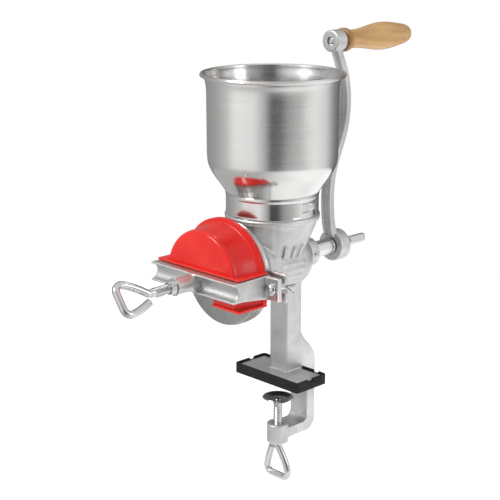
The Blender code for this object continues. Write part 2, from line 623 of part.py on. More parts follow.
def guard_cover():
    nose, swell = 0.0030, 0.0008
    waist = CARRIER_FRONT - 0.0070
    guard = loft("guard_cover", [arch(GUARD_FRONT_R - nose, GUARD_FRONT, GUARD_LOW),
                                 arch(GUARD_FRONT_R - nose * 0.3, GUARD_FRONT + nose * 0.3, GUARD_LOW),
                                 arch(GUARD_FRONT_R, GUARD_FRONT + nose, GUARD_LOW),
                                 arch(GUARD_BACK_R - swell, waist, GUARD_LOW),
                                 arch(GUARD_BACK_R, GUARD_BACK, GUARD_LOW)], "red")
    rim_low = YOKE_TOP + GAP + 0.0010
    rim = loft("guard_rim_form", [arch(GUARD_RIM_R, GUARD_BACK - GUARD_RIM_T, rim_low),
                                  arch(GUARD_RIM_R, GUARD_BACK + 0.0003, rim_low)])
    lip = box("guard_lip_form", (-YOKE_X + 0.001, GUARD_FRONT - 0.0040, YOKE_TOP + GAP),
              (YOKE_X - 0.001, GUARD_BACK + 0.0003, YOKE_TOP + GAP + LIP_H), edge=0.0005)
    hem = box("guard_hem_form", (-GUARD_BACK_R - 0.0022, GUARD_FRONT - 0.0018, GUARD_LOW - 0.0003),
              (GUARD_BACK_R + 0.0022, GUARD_BACK - 0.0010, GUARD_LOW + LIP_H), edge=0.0005)
    join(guard, rim, lip, hem)
    wall = GUARD_WALL
    extra = 0.010
    hollow = loft("guard_cut", [arch(GUARD_FRONT_R - nose - wall, GUARD_FRONT + wall, GUARD_LOW - extra),
                                arch(GUARD_FRONT_R - wall, GUARD_FRONT + nose + wall, GUARD_LOW - extra),
                                arch(GUARD_BACK_R - swell - wall, waist, GUARD_LOW - extra),
                                arch(GUARD_BACK_R - wall, GUARD_BACK, GUARD_LOW - extra),
                                arch(GUARD_BACK_R - wall, GUARD_BACK + extra, GUARD_LOW - extra)])
    cut(guard, hollow)
    half = YOKE_BOSS_R + 0.0040
    cut(guard, box("screw_notch_cut", (-half, GUARD_FRONT - 0.01, GUARD_LOW - 0.01),
                   (half, GUARD_FRONT + 0.01, SHAFT_Z + ROD_R + 0.0015)))


# --- hopper -----------------------------------------------------------------------------

def hopper_bowl():
    outer = [(RIM_R - 2 * RIM_WIRE_R - GAP, RIM_Z), (WALL_R + 0.0006, RIM_Z - 0.0085),
             (WALL_R - 0.0002, RIM_Z - 0.0160), (WALL_R - 0.0004, RIM_Z - 0.0817), (WALL_R - 0.0010, RIM_Z - 0.0872),
             (WALL_R - 0.0040, RIM_Z - 0.0932), (WALL_R - 0.0075, RIM_Z - 0.0992), (0.0471, RIM_Z - 0.1118),
             (0.0438, RIM_Z - 0.1172), (0.0438, RIM_Z - 0.1197)]
    inner = [(r - SHEET, h) for r, h in outer[:-1]] + [(outer[-1][0] - SHEET, outer[-1][1])]
    inner[0] = (outer[0][0] - SHEET, RIM_Z)
    turned("hopper_bowl", outer + inner[::-1], HOPPER, "Z", "hopper", FINE, ring=True)


def hopper_rim_wire():
    centre = (RIM_R - RIM_WIRE_R, RIM_Z - RIM_WIRE_R)
    turned("hopper_rim_wire", arc(centre, RIM_WIRE_R, 0, -315, 8), HOPPER, "Z", "hopper", FINE, ring=True)


def hopper_neck():
    neck = turned("hopper_neck", [(NECK_R - SHEET, NECK_TOP), (NECK_R, NECK_TOP), (NECK_R, NECK_LOW),
                                  (NECK_R - SHEET, NECK_LOW)], HOPPER, "Z", "hopper", FINE, ring=True)
    for side in (0, 180):
        middle = LUG_TURN + 5 - SLOT_SWEEP / 2 + side
        legs = (("slot_leg_cut", middle, NECK_R * math.radians(SLOT_SWEEP), SLOT_LOW, SLOT_TOP),
                ("slot_drop_cut", LUG_TURN + side, BAYONET_W + 0.0014, NECK_LOW - 0.01, SLOT_LOW + 0.001))
        for name, degrees, width, low, high in legs:
            angle = math.radians(degrees)
            tool = box(name, (-0.005, -width / 2, low), (0.005, width / 2, high))
            tool.rotation_euler = (0, 0, angle)
            tool.location = (NECK_R * math.cos(angle), HOPPER_Y + NECK_R * math.sin(angle), (low + high) / 2)
            cut(neck, tool)


# --- crank and grip ---------------------------------------------------------------------

def crank_line():
    """The arm's swan-neck centre line as (y, height above the shaft)."""
    return [(HUB_FRONT + 0.0010, SHAFT_OUT_R + 0.0028), (HUB_FRONT - 0.0025, 0.0200), (HUB_FRONT - 0.0048, 0.0380),
            (HUB_FRONT - 0.0052, 0.0600), (HUB_FRONT - 0.0015, 0.0810), (HUB_FRONT + 0.0065, 0.0990),
            (HUB_FRONT + 0.0150, 0.1180), (HUB_FRONT + 0.0192, 0.1380), (HUB_FRONT + 0.0192, 0.1580),
            (HUB_FRONT + 0.0155, 0.1760), (HUB_FRONT + 0.0085, 0.1920), (HUB_FRONT + 0.0030, THROW - 0.0050)]


def crank_arm():
    line = crank_line()
    sections = []
    for i, (y, h) in enumerate(line):
        before, after = line[max(i - 1, 0)], line[min(i + 1, len(line) - 1)]
        along = Vector((after[0] - before[0], after[1] - before[1])).normalized()
        off_y, off_z = along.y * ARM_T / 2, -along.x * ARM_T / 2
        half = (ARM_W + (ARM_TOP_W - ARM_W) * h / THROW) / 2
        z = SHAFT_Z + h
        sections.append([(-half, y - off_y, z - off_z), (half, y - off_y, z - off_z),
                         (half, y + off_y, z + off_z), (-half, y + off_y, z + off_z)])
    arm = loft("crank_arm", sections, "cast")
    hub = rod("hub_form", HUB_R, SHAFT, HUB_FRONT, HUB_FRONT + HUB_T, "Y", sides=ROUND)
    top = rod("top_form", TOP_R, at(z=GRIP_Z), TOP_FRONT, TOP_FRONT + TOP_T, "Y", sides=32)
    join(arm, hub, top)
    half = SQUARE / 2
    cut(arm, box("square_cut", (-half, HUB_FRONT - 0.02, SHAFT_Z - half),
                 (half, HUB_FRONT + HUB_T + 0.01, SHAFT_Z + half)),
        rod("bolt_cut", BOLT_BORE, at(z=GRIP_Z), TOP_FRONT - 0.01, TOP_FRONT + TOP_T + 0.01, "Y", sides=20),
        rod("bolt_recess_cut", 0.0052, at(z=GRIP_Z), TOP_FRONT - 0.01, TOP_FRONT + 0.0029, "Y", sides=20))


def crank_fixings():
    seat = HUB_FRONT + HUB_T + GAP
    turned("crank_washer", [(THUMB_R + GAP, seat + 0.0015), (0.0110, seat + 0.0015), (0.0110, seat),
                            (THUMB_R + GAP, seat)], SHAFT, "Y", "zinc", 32, ring=True)
    head = seat + 0.0015 + GAP
    screw = turned("crank_thumb_screw", [(0, head + 0.0090), (0.0044, head + 0.0090), (0.0066, head + 0.0050),
                                         (0.0072, head), (THUMB_R, head), (THUMB_R, head - 0.0135),
                                         (0, head - 0.0135)], SHAFT, "Y", "zinc", 24)
    join(screw, box("thumb_tab_form", (-TAB_X, head + 0.0060, SHAFT_Z - TAB_Z),
                    (TAB_X, THUMB_TIP, SHAFT_Z + TAB_Z), edge=0.0018))
    grip_seat = TOP_FRONT + TOP_T + GAP
    turned("handle_washer", [(BOLT_BORE, grip_seat + 0.0016), (0.0085, grip_seat + 0.0016), (0.0085, grip_seat),
                             (BOLT_BORE, grip_seat)], at(z=GRIP_Z), "Y", "zinc", 32, ring=True)
    turned("handle_bolt", [(0, grip_seat + 0.0780), (BOLT_R, grip_seat + 0.0780), (BOLT_R, TOP_FRONT + 0.0025),
                           (0.0042, TOP_FRONT + 0.0025), (0.0036, TOP_FRONT + 0.0005), (0, TOP_FRONT + 0.0002)],
           at(z=GRIP_Z), "Y", "zinc", 20)


def wooden_grip():
    start = TOP_FRONT + TOP_T + 0.0016 + 2 * GAP
    end = start + GRIP_LENGTH
    outer = [(0, end), (0.0045, end - 0.0006), (0.0080, end - 0.0032), (0.0100, end - 0.0080),
             (0.0118, end - 0.0200), (0.0138, end - 0.0330), (0.0143, end - 0.0430), (0.0138, end - 0.0540),
             (0.0120, end - 0.0690), (0.0102, end - 0.0820), (0.0096, end - 0.0890), (0.0098, start + 0.0085),
             (0.0118, start + 0.0060), (0.0120, start + 0.0010), (0.0112, start)]
    bore = [(BOLT_BORE, start), (BOLT_BORE, start + 0.0800), (0, start + 0.0800)]
    turned("wooden_grip", outer + bore, at(z=GRIP_Z), "Y", "wood", 28)


mill_body()
base_rubber_pad()
bearing_parts()
discs()
auger_shaft()
thrust_ball()
adjusting_screw()
clamp_screw()
clamp_pad()
yoke()
yoke_pins()
lock_nut()
guard_cover()
hopper_bowl()
hopper_rim_wire()
hopper_neck()
crank_arm()
crank_fixings()
wooden_grip()
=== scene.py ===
from math import cos, pi, radians, sin

import bpy
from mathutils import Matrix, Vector


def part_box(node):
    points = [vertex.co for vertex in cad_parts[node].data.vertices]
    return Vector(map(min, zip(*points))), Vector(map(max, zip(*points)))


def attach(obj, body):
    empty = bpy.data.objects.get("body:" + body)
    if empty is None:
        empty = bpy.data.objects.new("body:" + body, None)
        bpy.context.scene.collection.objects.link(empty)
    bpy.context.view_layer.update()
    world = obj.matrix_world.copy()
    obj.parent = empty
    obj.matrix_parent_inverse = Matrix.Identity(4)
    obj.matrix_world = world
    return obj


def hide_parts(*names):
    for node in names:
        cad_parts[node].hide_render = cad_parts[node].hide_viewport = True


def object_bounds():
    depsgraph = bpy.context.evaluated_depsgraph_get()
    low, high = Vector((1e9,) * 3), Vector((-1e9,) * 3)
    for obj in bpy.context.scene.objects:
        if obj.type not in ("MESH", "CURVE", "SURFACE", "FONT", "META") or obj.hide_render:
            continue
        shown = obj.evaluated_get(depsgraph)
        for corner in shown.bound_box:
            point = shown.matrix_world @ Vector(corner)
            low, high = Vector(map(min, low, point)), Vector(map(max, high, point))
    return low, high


# A hand-cranked table mill, finished round its frame: castings, spun hopper, guard, screws, crank and grip.
# Metres, +Z up. +Y runs along the feed shaft towards the crank, +X is across the mill.

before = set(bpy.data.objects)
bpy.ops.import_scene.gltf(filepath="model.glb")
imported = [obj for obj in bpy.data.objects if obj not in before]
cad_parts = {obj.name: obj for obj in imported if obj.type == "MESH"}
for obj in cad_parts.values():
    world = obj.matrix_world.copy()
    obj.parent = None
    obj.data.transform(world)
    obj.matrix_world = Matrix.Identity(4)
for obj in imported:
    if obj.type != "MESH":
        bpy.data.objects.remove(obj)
cad_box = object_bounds()

TINY, WELD = 1e-6, 4e-6
GAP = 0.0003


def middle(node):
    low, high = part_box(node)
    return (Vector(low) + Vector(high)) / 2


def low_of(node, axis):
    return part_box(node)[0]["XYZ".index(axis)]


def high_of(node, axis):
    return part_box(node)[1]["XYZ".index(axis)]


def span(node, axis):
    return low_of(node, axis), high_of(node, axis)


UNIT = {"Y": Vector((0, 1, 0)), "Z": Vector((0, 0, 1))}
SHAFT = Vector((0, 0, middle("rear_bush").z))
HOPPER = Vector((0, middle("hopper_rim_wire").y, 0))
CLAMP = Vector((0, middle("clamp_pad").y, 0))
GRIP = Vector((0, 0, middle("wooden_grip").z))


# --- making shapes ---

def deselect():
    if bpy.context.mode != "OBJECT":
        bpy.ops.object.mode_set(mode="OBJECT")
    bpy.ops.object.select_all(action="DESELECT")


def pick(piece):
    deselect()
    piece.select_set(True)
    bpy.context.view_layer.objects.active = piece


def leave_edit():
    bpy.ops.object.mode_set(mode="OBJECT")


def edit(piece):
    pick(piece)
    bpy.ops.object.mode_set(mode="EDIT")
    bpy.ops.mesh.select_all(action="SELECT")


def settle(piece):
    """Leaves the piece's place in its mesh, with the object at the origin."""
    pick(piece)
    bpy.ops.object.transform_apply(location=True, rotation=True, scale=True)
    return piece


def tidy(piece, outwards=True):
    edit(piece)
    bpy.ops.mesh.remove_doubles(threshold=WELD)
    if outwards:
        bpy.ops.mesh.normals_make_consistent(inside=False)
    leave_edit()


def smooth(piece, angle=32):
    pick(piece)
    bpy.ops.object.shade_smooth_by_angle(angle=radians(angle))


def apply_all(piece):
    pick(piece)
    for modifier in list(piece.modifiers):
        bpy.ops.object.modifier_apply(modifier=modifier.name)


def stand(piece, place, axis):
    """Turns a piece made along +Z to another axis and puts it in its place."""
    if axis == "Y":
        piece.rotation_euler = (-pi / 2, 0, 0)
    elif axis == "X":
        piece.rotation_euler = (0, pi / 2, 0)
    piece.location = place
    settle(piece)


def softened(points, size, steps=3):
    """The same outline with each inner corner rounded off."""
    points = [Vector(point) for point in points]
    out = [points[0]]
    for before, corner, after in zip(points, points[1:], points[2:]):
        near = min(size, (before - corner).length * 0.45)
        far = min(size, (after - corner).length * 0.45)
        start = corner + (before - corner).normalized() * near
        end = corner + (after - corner).normalized() * far
        for i in range(steps + 1):
            t = i / steps
            out.append(start * (1 - t) ** 2 + corner * 2 * t * (1 - t) + end * t * t)
    return out + [points[-1]]


def arc(centre, radius, start, end, count):
    angles = [radians(start + (end - start) * i / (count - 1)) for i in range(count)]
    return [(centre[0] + radius * cos(a), centre[1] + radius * sin(a)) for a in angles]


def named(name):
    piece = bpy.context.object
    piece.name = piece.data.name = name
    return piece


def turned(name, profile, place=(0, 0, 0), axis="Z", sides=96, ring=False, edge=0.0):
    """A circle drawn out along its axis and resized at each (radius, height) of a profile."""
    outline = list(profile) + ([profile[0]] if ring else [])
    if edge:
        outline = softened(outline, edge)
    outline = [(max(r, TINY), h) for r, h in outline]
    radius, height = outline[0]
    deselect()
    bpy.ops.mesh.primitive_circle_add(vertices=sides, radius=radius, location=(0, 0, height))
    piece = named(name)
    edit(piece)
    for r, h in outline[1:]:
        bpy.ops.mesh.extrude_edges_move(TRANSFORM_OT_translate={"value": (0, 0, h - height)})
        bpy.ops.transform.resize(value=(r / radius, r / radius, 1), center_override=(0, 0, h))
        radius, height = r, h
    tidy(piece)
    stand(settle(piece), place, axis)
    smooth(piece)
    return piece


def block(name, low, high, edge=0.0, segments=3):
    """A box between two corners, its edges bevelled in edit mode."""
    low, high = Vector(low), Vector(high)
    deselect()
    bpy.ops.mesh.primitive_cube_add(size=1, location=(low + high) / 2, scale=high - low)
    piece = named(name)
    settle(piece)
    if edge:
        edit(piece)
        bpy.ops.mesh.bevel(offset=edge, segments=segments, affect="EDGES")
        leave_edit()
    smooth(piece, 40)
    return piece


def post(name, radius, place, start, end, axis="Z", sides=64, edge=0.0):
    """A round bar with rounded ends, from start to end along its axis."""
    profile = [(0, end), (radius, end), (radius, start), (0, start)]
    return turned(name, profile, place, axis, sides, edge=edge)


def wire(name, points, radius, roundness=6):
    """A round wire along points, its ends closed."""
    deselect()
    bpy.ops.curve.primitive_bezier_curve_add(location=(0, 0, 0))
    route = bpy.context.object
    route.data.splines.clear()
    spline = route.data.splines.new("POLY")
    spline.points.add(len(points) - 1)
    for point, place in zip(spline.points, points):
        point.co = (*place, 1)
    route.data.bevel_depth = radius
    route.data.bevel_resolution = roundness
    route.data.use_fill_caps = True
    bpy.ops.object.convert(target="MESH")
    piece = named(name)
    settle(piece)
    tidy(piece)
    smooth(piece, 50)
    return piece


def merged(name, first, *others):
    """Several overlapping pieces as one mesh object."""
    deselect()
    for piece in (first, *others):
        piece.select_set(True)
    bpy.context.view_layer.objects.active = first
    bpy.ops.object.join()
    first.name = first.data.name = name
    return first


def carve(piece, *tools, operation="DIFFERENCE"):
    for tool in tools:
        modifier = piece.modifiers.new("carve", "BOOLEAN")
        modifier.operation, modifier.solver, modifier.object = operation, "EXACT", tool
        apply_all(piece)
        bpy.data.objects.remove(tool, do_unlink=True)
    return piece


def cast(piece, voxel, passes):
    """One even skin over a piece, its corners softened as a casting's are."""
    skin = piece.modifiers.new("skin", "REMESH")
    skin.mode, skin.voxel_size, skin.adaptivity = "VOXEL", voxel, 0.0
    soft = piece.modifiers.new("soft", "SMOOTH")
    soft.factor, soft.iterations = 0.5, passes
    apply_all(piece)
    tidy(piece, outwards=False)
    pick(piece)
    bpy.ops.object.shade_smooth()
    return piece


def added(name, data):
    thing = bpy.data.objects.new(name, data)
    bpy.context.scene.collection.objects.link(thing)
    return thing


def copy_of(node, name):
    """A welded copy of a node's own shape, to be finished further."""
    piece = added(name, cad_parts[node].data.copy())
    piece.data.materials.clear()
    tidy(piece, outwards=False)
    return piece


def finish_piece(piece, body, material, slot, *nodes):
    piece.data.materials.clear()
    piece.data.materials.append(material)
    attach(piece, body)
    if nodes:
        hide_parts(*nodes)


def plated(piece, body, node, plating=None):
    finish_piece(piece, body, plating or ZINC_Y, "zinc_plate", node)


def in_cast_metal(piece, body, node, metal=None):
    finish_piece(piece, body, metal or CAST, "cast_metal", node)


# --- surface effects shared by the finishes ---

class Effect:
    """A shader node group being built: named sockets in, colours, masks and values out."""

    def __init__(self, name, inputs, outputs):
        self.tree = bpy.data.node_groups.new(name, "ShaderNodeTree")
        for label, default in inputs.items():
            socket = self.tree.interface.new_socket(label, in_out="INPUT", socket_type="NodeSocketFloat")
            socket.default_value = default
        for label in outputs:
            self.tree.interface.new_socket(label, in_out="OUTPUT", socket_type="NodeSocketFloat")
        self.source = self.tree.nodes.new("NodeGroupInput").outputs
        self.result = self.tree.nodes.new("NodeGroupOutput").inputs


def new_node(tree, kind, links=(), **settings):
    """A node with its settings; links are (input, source socket or value)."""
    node = tree.nodes.new("ShaderNode" + kind)
    for label, value in settings.items():
        setattr(node, label, value)
    for label, value in links:
        socket = node.inputs[label]
        if isinstance(value, bpy.types.NodeSocket):
            tree.links.new(value, socket)
        else:
            socket.default_value = value
    return node


def object_place(tree, stretch=(1, 1, 1), turn=(0, 0, 0)):
    """Object coordinates, stretched and turned."""
    where = new_node(tree, "TexCoord").outputs["Object"]
    return new_node(tree, "Mapping",
                    [("Vector", where), ("Scale", stretch), ("Rotation", turn)]).outputs["Vector"]


def noise(tree, place, scale, detail=4.0, roughness=0.5, distortion=0.0):
    return new_node(tree, "TexNoise", [("Vector", place), ("Scale", scale), ("Detail", detail),
                                       ("Roughness", roughness), ("Distortion", distortion)]).outputs["Fac"]


def spread(tree, value, low, high, out_low=0.0, out_high=1.0):
    return new_node(tree, "MapRange", [("Value", value), ("From Min", low), ("From Max", high),
                                       ("To Min", out_low), ("To Max", out_high)]).outputs["Result"]


def sums(tree, operation, first, second):
    return new_node(tree, "Math", [(0, first), (1, second)], operation=operation).outputs[0]


def times(tree, first, second):
    return sums(tree, "MULTIPLY", first, second)


def mixed(tree, factor, first, second, blend="MIX"):
    return new_node(tree, "MixRGB", [("Fac", factor), ("Color1", first), ("Color2", second)],
                    blend_type=blend).outputs["Color"]


def cast_skin():
    """Sand-cast grain: fine pits, a slow unevenness and soft stains."""
    group = Effect("sand_cast_skin", {"Grain Size": 900.0, "Patch Size": 28.0}, ("Height", "Patches", "Pits"))
    tree, place = group.tree, object_place(group.tree)
    grain = noise(tree, place, group.source["Grain Size"], 3.0, 0.6)
    waves = noise(tree, place, 120.0, 3.0, 0.5)
    patches = noise(tree, place, group.source["Patch Size"], 4.0, 0.6, 0.3)
    pits = new_node(tree, "TexVoronoi", [("Vector", place), ("Scale", 420.0)],
                    feature="F1").outputs["Distance"]
    pit_mask = spread(tree, pits, 0.10, 0.22, 1.0, 0.0)
    rare = spread(tree, noise(tree, place, 60.0, 2.0), 0.52, 0.62)
    pit_mask = times(tree, pit_mask, rare)
    height = sums(tree, "ADD", times(tree, grain, 0.35), times(tree, waves, 0.9))
    tree.links.new(sums(tree, "SUBTRACT", height, times(tree, pit_mask, 0.5)), group.result["Height"])
    tree.links.new(spread(tree, patches, 0.35, 0.68), group.result["Patches"])
    tree.links.new(pit_mask, group.result["Pits"])
    return group.tree


def edge_wear_and_hollow_shade():
    """Where corners are rubbed bright, and painted shade that darkens the hollows."""
    group = Effect("rubbed_edges_and_hollow_shade", {"Sharpness": 1.0}, ("Rubbed", "Painted Hollow Shade"))
    tree = group.tree
    point = new_node(tree, "NewGeometry").outputs["Pointiness"]
    broken = noise(tree, object_place(tree), 160.0, 3.0, 0.6)
    rubbed = spread(tree, point, 0.51, 0.58)
    rubbed = times(tree, times(tree, rubbed, spread(tree, broken, 0.25, 0.6)),
                  group.source["Sharpness"])
    tree.links.new(rubbed, group.result["Rubbed"])
    # Painted shade: a mask that is strong where the surface is hollow.
    tree.links.new(spread(tree, point, 0.49, 0.42), group.result["Painted Hollow Shade"])
    return group.tree


def fine_scratches():
    """Hairlines in two directions and a slow smear, for bright metal and plastic."""
    group = Effect("hairlines", {"Amount": 1.0}, ("Height", "Smear"))
    tree = group.tree
    first = noise(tree, object_place(tree, (30, 900, 60), (0.3, 0.2, 0.5)), 1.0, 2.0, 0.5)
    second = noise(tree, object_place(tree, (800, 40, 50), (0.1, 0.5, 1.1)), 1.0, 2.0, 0.5)
    lines = sums(tree, "MAXIMUM", spread(tree, first, 0.66, 0.72), spread(tree, second, 0.67, 0.73))
    tree.links.new(times(tree, lines, group.source["Amount"]), group.result["Height"])
    smear = noise(tree, object_place(tree), 45.0, 4.0, 0.65, 0.6)
    tree.links.new(spread(tree, smear, 0.35, 0.7), group.result["Smear"])
    return group.tree


CAST_SKIN = cast_skin()
EDGE_WEAR_AND_HOLLOW_SHADE = edge_wear_and_hollow_shade()
HAIRLINES = fine_scratches()


def placed(tree, group, **values):
    node = tree.nodes.new("ShaderNodeGroup")
    node.node_tree = group
    for label, value in values.items():
        node.inputs[label.replace("_", " ")].default_value = value
    return node.outputs


def finish(name, **settings):
    """A new material and its shader, with the constants set on the shader's own sockets."""
    made = bpy.data.materials.new(name)
    made.use_nodes = True
    shader = made.node_tree.nodes["Principled BSDF"]
    for label, value in settings.items():
        shader.inputs[label.replace("_", " ")].default_value = value
    return made, made.node_tree, shader


def dress(tree, shader, colour, rough, height, relief, strength):
    """Leads a colour, a roughness and a raised surface into the shader."""
    links = [("Height", height), ("Distance", relief), ("Strength", strength)]
    normal = new_node(tree, "Bump", links).outputs["Normal"]
    for label, socket in (("Base Color", colour), ("Roughness", rough), ("Normal", normal)):
        tree.links.new(socket, shader.inputs[label])


# --- finishes ---

def tinned_casting(name="tinned_casting", light=(0.70, 0.70, 0.695, 1), dark=(0.54, 0.54, 0.535, 1),
                   relief=0.00042):
    made, tree, shader = finish(name, Metallic=1.0)
    skin = placed(tree, CAST_SKIN, Grain_Size=1100.0, Patch_Size=30.0)
    wear_and_shade = placed(tree, EDGE_WEAR_AND_HOLLOW_SHADE, Sharpness=0.8)
    colour = mixed(tree, skin["Patches"], dark, light)
    # Painted shade: the casting is darkened in its hollows.
    colour = mixed(tree, times(tree, wear_and_shade["Painted Hollow Shade"], 0.55), colour, (0.30, 0.30, 0.29, 1))
    colour = mixed(tree, wear_and_shade["Rubbed"], colour, (0.90, 0.90, 0.89, 1))
    colour = mixed(tree, times(tree, skin["Pits"], 0.6), colour, (0.32, 0.31, 0.30, 1))
    rough = spread(tree, skin["Patches"], 0, 1, 0.50, 0.38)
    rough = sums(tree, "SUBTRACT", rough, times(tree, wear_and_shade["Rubbed"], 0.12))
    dress(tree, shader, colour, rough, skin["Height"], relief, 0.8)
    return made


def lathe_lines(tree, axis, scale):
    """Fine rings round an axis, as a tool leaves them."""
    stretch = [6.0, 6.0, 6.0]
    stretch["XYZ".index(axis)] = scale
    return noise(tree, object_place(tree, stretch), 1.0, 3.0, 0.7)


def bright_metal(name, axis, base, rough, lines=2600.0, relief=0.00002, **settings):
    """Turned or plated steel with rings round one axis, hairlines and a little tarnish."""
    made, tree, shader = finish(name, Metallic=1.0, **settings)
    marks = placed(tree, HAIRLINES, Amount=1.0)
    wear_and_shade = placed(tree, EDGE_WEAR_AND_HOLLOW_SHADE, Sharpness=0.6)
    rings = lathe_lines(tree, axis, lines)
    dull = tuple(channel * 0.72 for channel in base[:3]) + (1,)
    colour = mixed(tree, spread(tree, marks["Smear"], 0.0, 1.0, 0.0, 0.35), base, dull)
    # Painted shade: the metal is darkened in its hollows.
    colour = mixed(tree, times(tree, wear_and_shade["Painted Hollow Shade"], 0.5), colour, (0.22, 0.21, 0.20, 1))
    value = spread(tree, rings, 0.3, 0.7, rough * 0.75, rough * 1.25)
    value = sums(tree, "ADD", value, times(tree, marks["Smear"], 0.07))
    height = sums(tree, "SUBTRACT", rings, times(tree, marks["Height"], 0.6))
    dress(tree, shader, colour, value, height, relief, 0.7)
    return made


def spun_steel():
    """Bright spun sheet: rings from the spinning tool that draw reflections out upright."""
    made, tree, shader = finish("spun_steel", Metallic=1.0, Anisotropic=0.75, Anisotropic_Rotation=0.25)
    tangent = new_node(tree, "Tangent", direction_type="RADIAL", axis="Z").outputs["Tangent"]
    tree.links.new(tangent, shader.inputs["Tangent"])
    marks = placed(tree, HAIRLINES, Amount=0.6)
    rings = lathe_lines(tree, "Z", 1500.0)
    broad = lathe_lines(tree, "Z", 60.0)
    colour = mixed(tree, spread(tree, rings, 0.3, 0.7), (0.70, 0.695, 0.685, 1), (0.75, 0.745, 0.735, 1))
    colour = mixed(tree, spread(tree, broad, 0.35, 0.7, 0.0, 0.08), colour, (0.60, 0.595, 0.585, 1))
    rough = sums(tree, "ADD", spread(tree, rings, 0.3, 0.7, 0.20, 0.26), times(tree, marks["Smear"], 0.05))
    level = new_node(tree, "SeparateXYZ", [("Vector", object_place(tree))]).outputs["Z"]
    polish = spread(tree, level, SHOULDER_Z - 0.008, SHOULDER_Z + 0.012, 0.50, 1.0)
    height = sums(tree, "SUBTRACT", rings, times(tree, marks["Height"], 0.4))
    dress(tree, shader, colour, times(tree, rough, polish), height, 0.000004, 0.4)
    return made


def red_plastic():
    made, tree, shader = finish("red_moulded_plastic", Coat_Weight=0.10, Coat_Roughness=0.12,
                                Specular_IOR_Level=0.35)
    marks = placed(tree, HAIRLINES, Amount=1.0)
    wear_and_shade = placed(tree, EDGE_WEAR_AND_HOLLOW_SHADE, Sharpness=0.7)
    flow = noise(tree, object_place(tree), 22.0, 3.0, 0.5, 0.8)
    colour = mixed(tree, spread(tree, flow, 0.35, 0.65), (0.80, 0.016, 0.011, 1), (0.88, 0.030, 0.020, 1))
    colour = mixed(tree, times(tree, wear_and_shade["Rubbed"], 0.35), colour, (0.90, 0.10, 0.07, 1))
    rough = sums(tree, "ADD", spread(tree, marks["Smear"], 0, 1, 0.24, 0.34),
                 times(tree, marks["Height"], 0.10))
    skin = noise(tree, object_place(tree), 700.0, 2.0, 0.5)
    dress(tree, shader, colour, rough, skin, 0.00003, 0.35)
    return made


def black_rubber():
    made, tree, shader = finish("black_moulded_rubber", Specular_IOR_Level=0.2)
    grain = noise(tree, object_place(tree), 1500.0, 3.0, 0.6)
    dust = noise(tree, object_place(tree), 70.0, 5.0, 0.7)
    wear_and_shade = placed(tree, EDGE_WEAR_AND_HOLLOW_SHADE, Sharpness=0.8)
    colour = mixed(tree, spread(tree, dust, 0.5, 0.85, 0.0, 0.25), (0.010, 0.010, 0.011, 1),
                   (0.030, 0.029, 0.028, 1))
    colour = mixed(tree, times(tree, wear_and_shade["Rubbed"], 0.4), colour, (0.05, 0.05, 0.05, 1))
    dress(tree, shader, colour, spread(tree, dust, 0.3, 0.8, 0.42, 0.70), grain, 0.00008, 0.5)
    return made


def grip_wood():
    """Pale hardwood turned with the grain along the grip, lacquered, with pores and darker streaks."""
    made, tree, shader = finish("lacquered_grip_wood", Coat_Weight=0.30, Coat_Roughness=0.25)
    along = object_place(tree, (1, 0.10, 1))
    warp = noise(tree, along, 60.0, 3.0, 0.55, 1.2)
    waves = [("Vector", along), ("Scale", 55.0), ("Distortion", 7.0), ("Detail", 3.0), ("Detail Scale", 1.4)]
    bands = new_node(tree, "TexWave", waves, wave_type="BANDS", bands_direction="DIAGONAL").outputs["Fac"]
    pores = noise(tree, object_place(tree, (1, 0.05, 1)), 1500.0, 2.0, 0.6)
    streaks = spread(tree, noise(tree, object_place(tree, (1, 0.16, 1)), 150.0, 4.0, 0.65, 0.8), 0.50, 0.74)
    colour = mixed(tree, spread(tree, warp, 0.30, 0.70), (0.68, 0.36, 0.11, 1), (0.82, 0.52, 0.21, 1))
    colour = mixed(tree, times(tree, bands, 0.42), colour, (0.52, 0.26, 0.09, 1))
    colour = mixed(tree, times(tree, streaks, 0.45), colour, (0.40, 0.18, 0.06, 1))
    pore_mask = spread(tree, pores, 0.60, 0.70)
    colour = mixed(tree, times(tree, pore_mask, 0.35), colour, (0.22, 0.10, 0.04, 1))
    # Painted shade: the wood darkens towards its collar, in the shadow gap beside the arm.
    reach = new_node(tree, "SeparateXYZ", [("Vector", object_place(tree))]).outputs["Y"]
    collar = low_of("wooden_grip", "Y")
    painted_collar_shade = spread(tree, reach, collar + 0.0015, collar + 0.0085, 0.75, 0.0)
    colour = mixed(tree, painted_collar_shade, colour, (0.30, 0.12, 0.035, 1))
    rough = spread(tree, warp, 0.3, 0.7, 0.34, 0.46)
    height = sums(tree, "SUBTRACT", times(tree, bands, 0.4), pore_mask)
    dress(tree, shader, colour, rough, height, 0.00006, 0.4)
    return made


SHOULDER_Z = SHAFT.z + 0.0990
CAST = tinned_casting()
CAST_DARK = tinned_casting("disc_casting", (0.50, 0.50, 0.49, 1), (0.36, 0.36, 0.35, 1), 0.00010)
TURNED_Y = bright_metal("turned_steel_shaft", "Y", (0.78, 0.78, 0.77, 1), 0.20)
GROUND_Y = bright_metal("ground_disc_steel", "Y", (0.52, 0.52, 0.51, 1), 0.34, 1800.0)
ZINC_Y = bright_metal("zinc_plate_lengthwise", "Y", (0.66, 0.66, 0.66, 1), 0.17, 1500.0)
ZINC_Z = bright_metal("zinc_plate_upright", "Z", (0.66, 0.66, 0.66, 1), 0.17, 1500.0)
# Painted shade: a darker copy of the plated steel, for the inside of the clamp pad's dish.
PAD_DISH_SHADE = bright_metal("pad_dish_painted_shade", "Z", (0.42, 0.42, 0.41, 1), 0.26, 900.0)
BUSH_BRONZE = bright_metal("bush_bronze", "Y", (0.62, 0.42, 0.20, 1), 0.26)
SPUN = spun_steel()
RED = red_plastic()
RUBBER = black_rubber()
WOOD = grip_wood()


# --- the casting, its boot and bearing ---

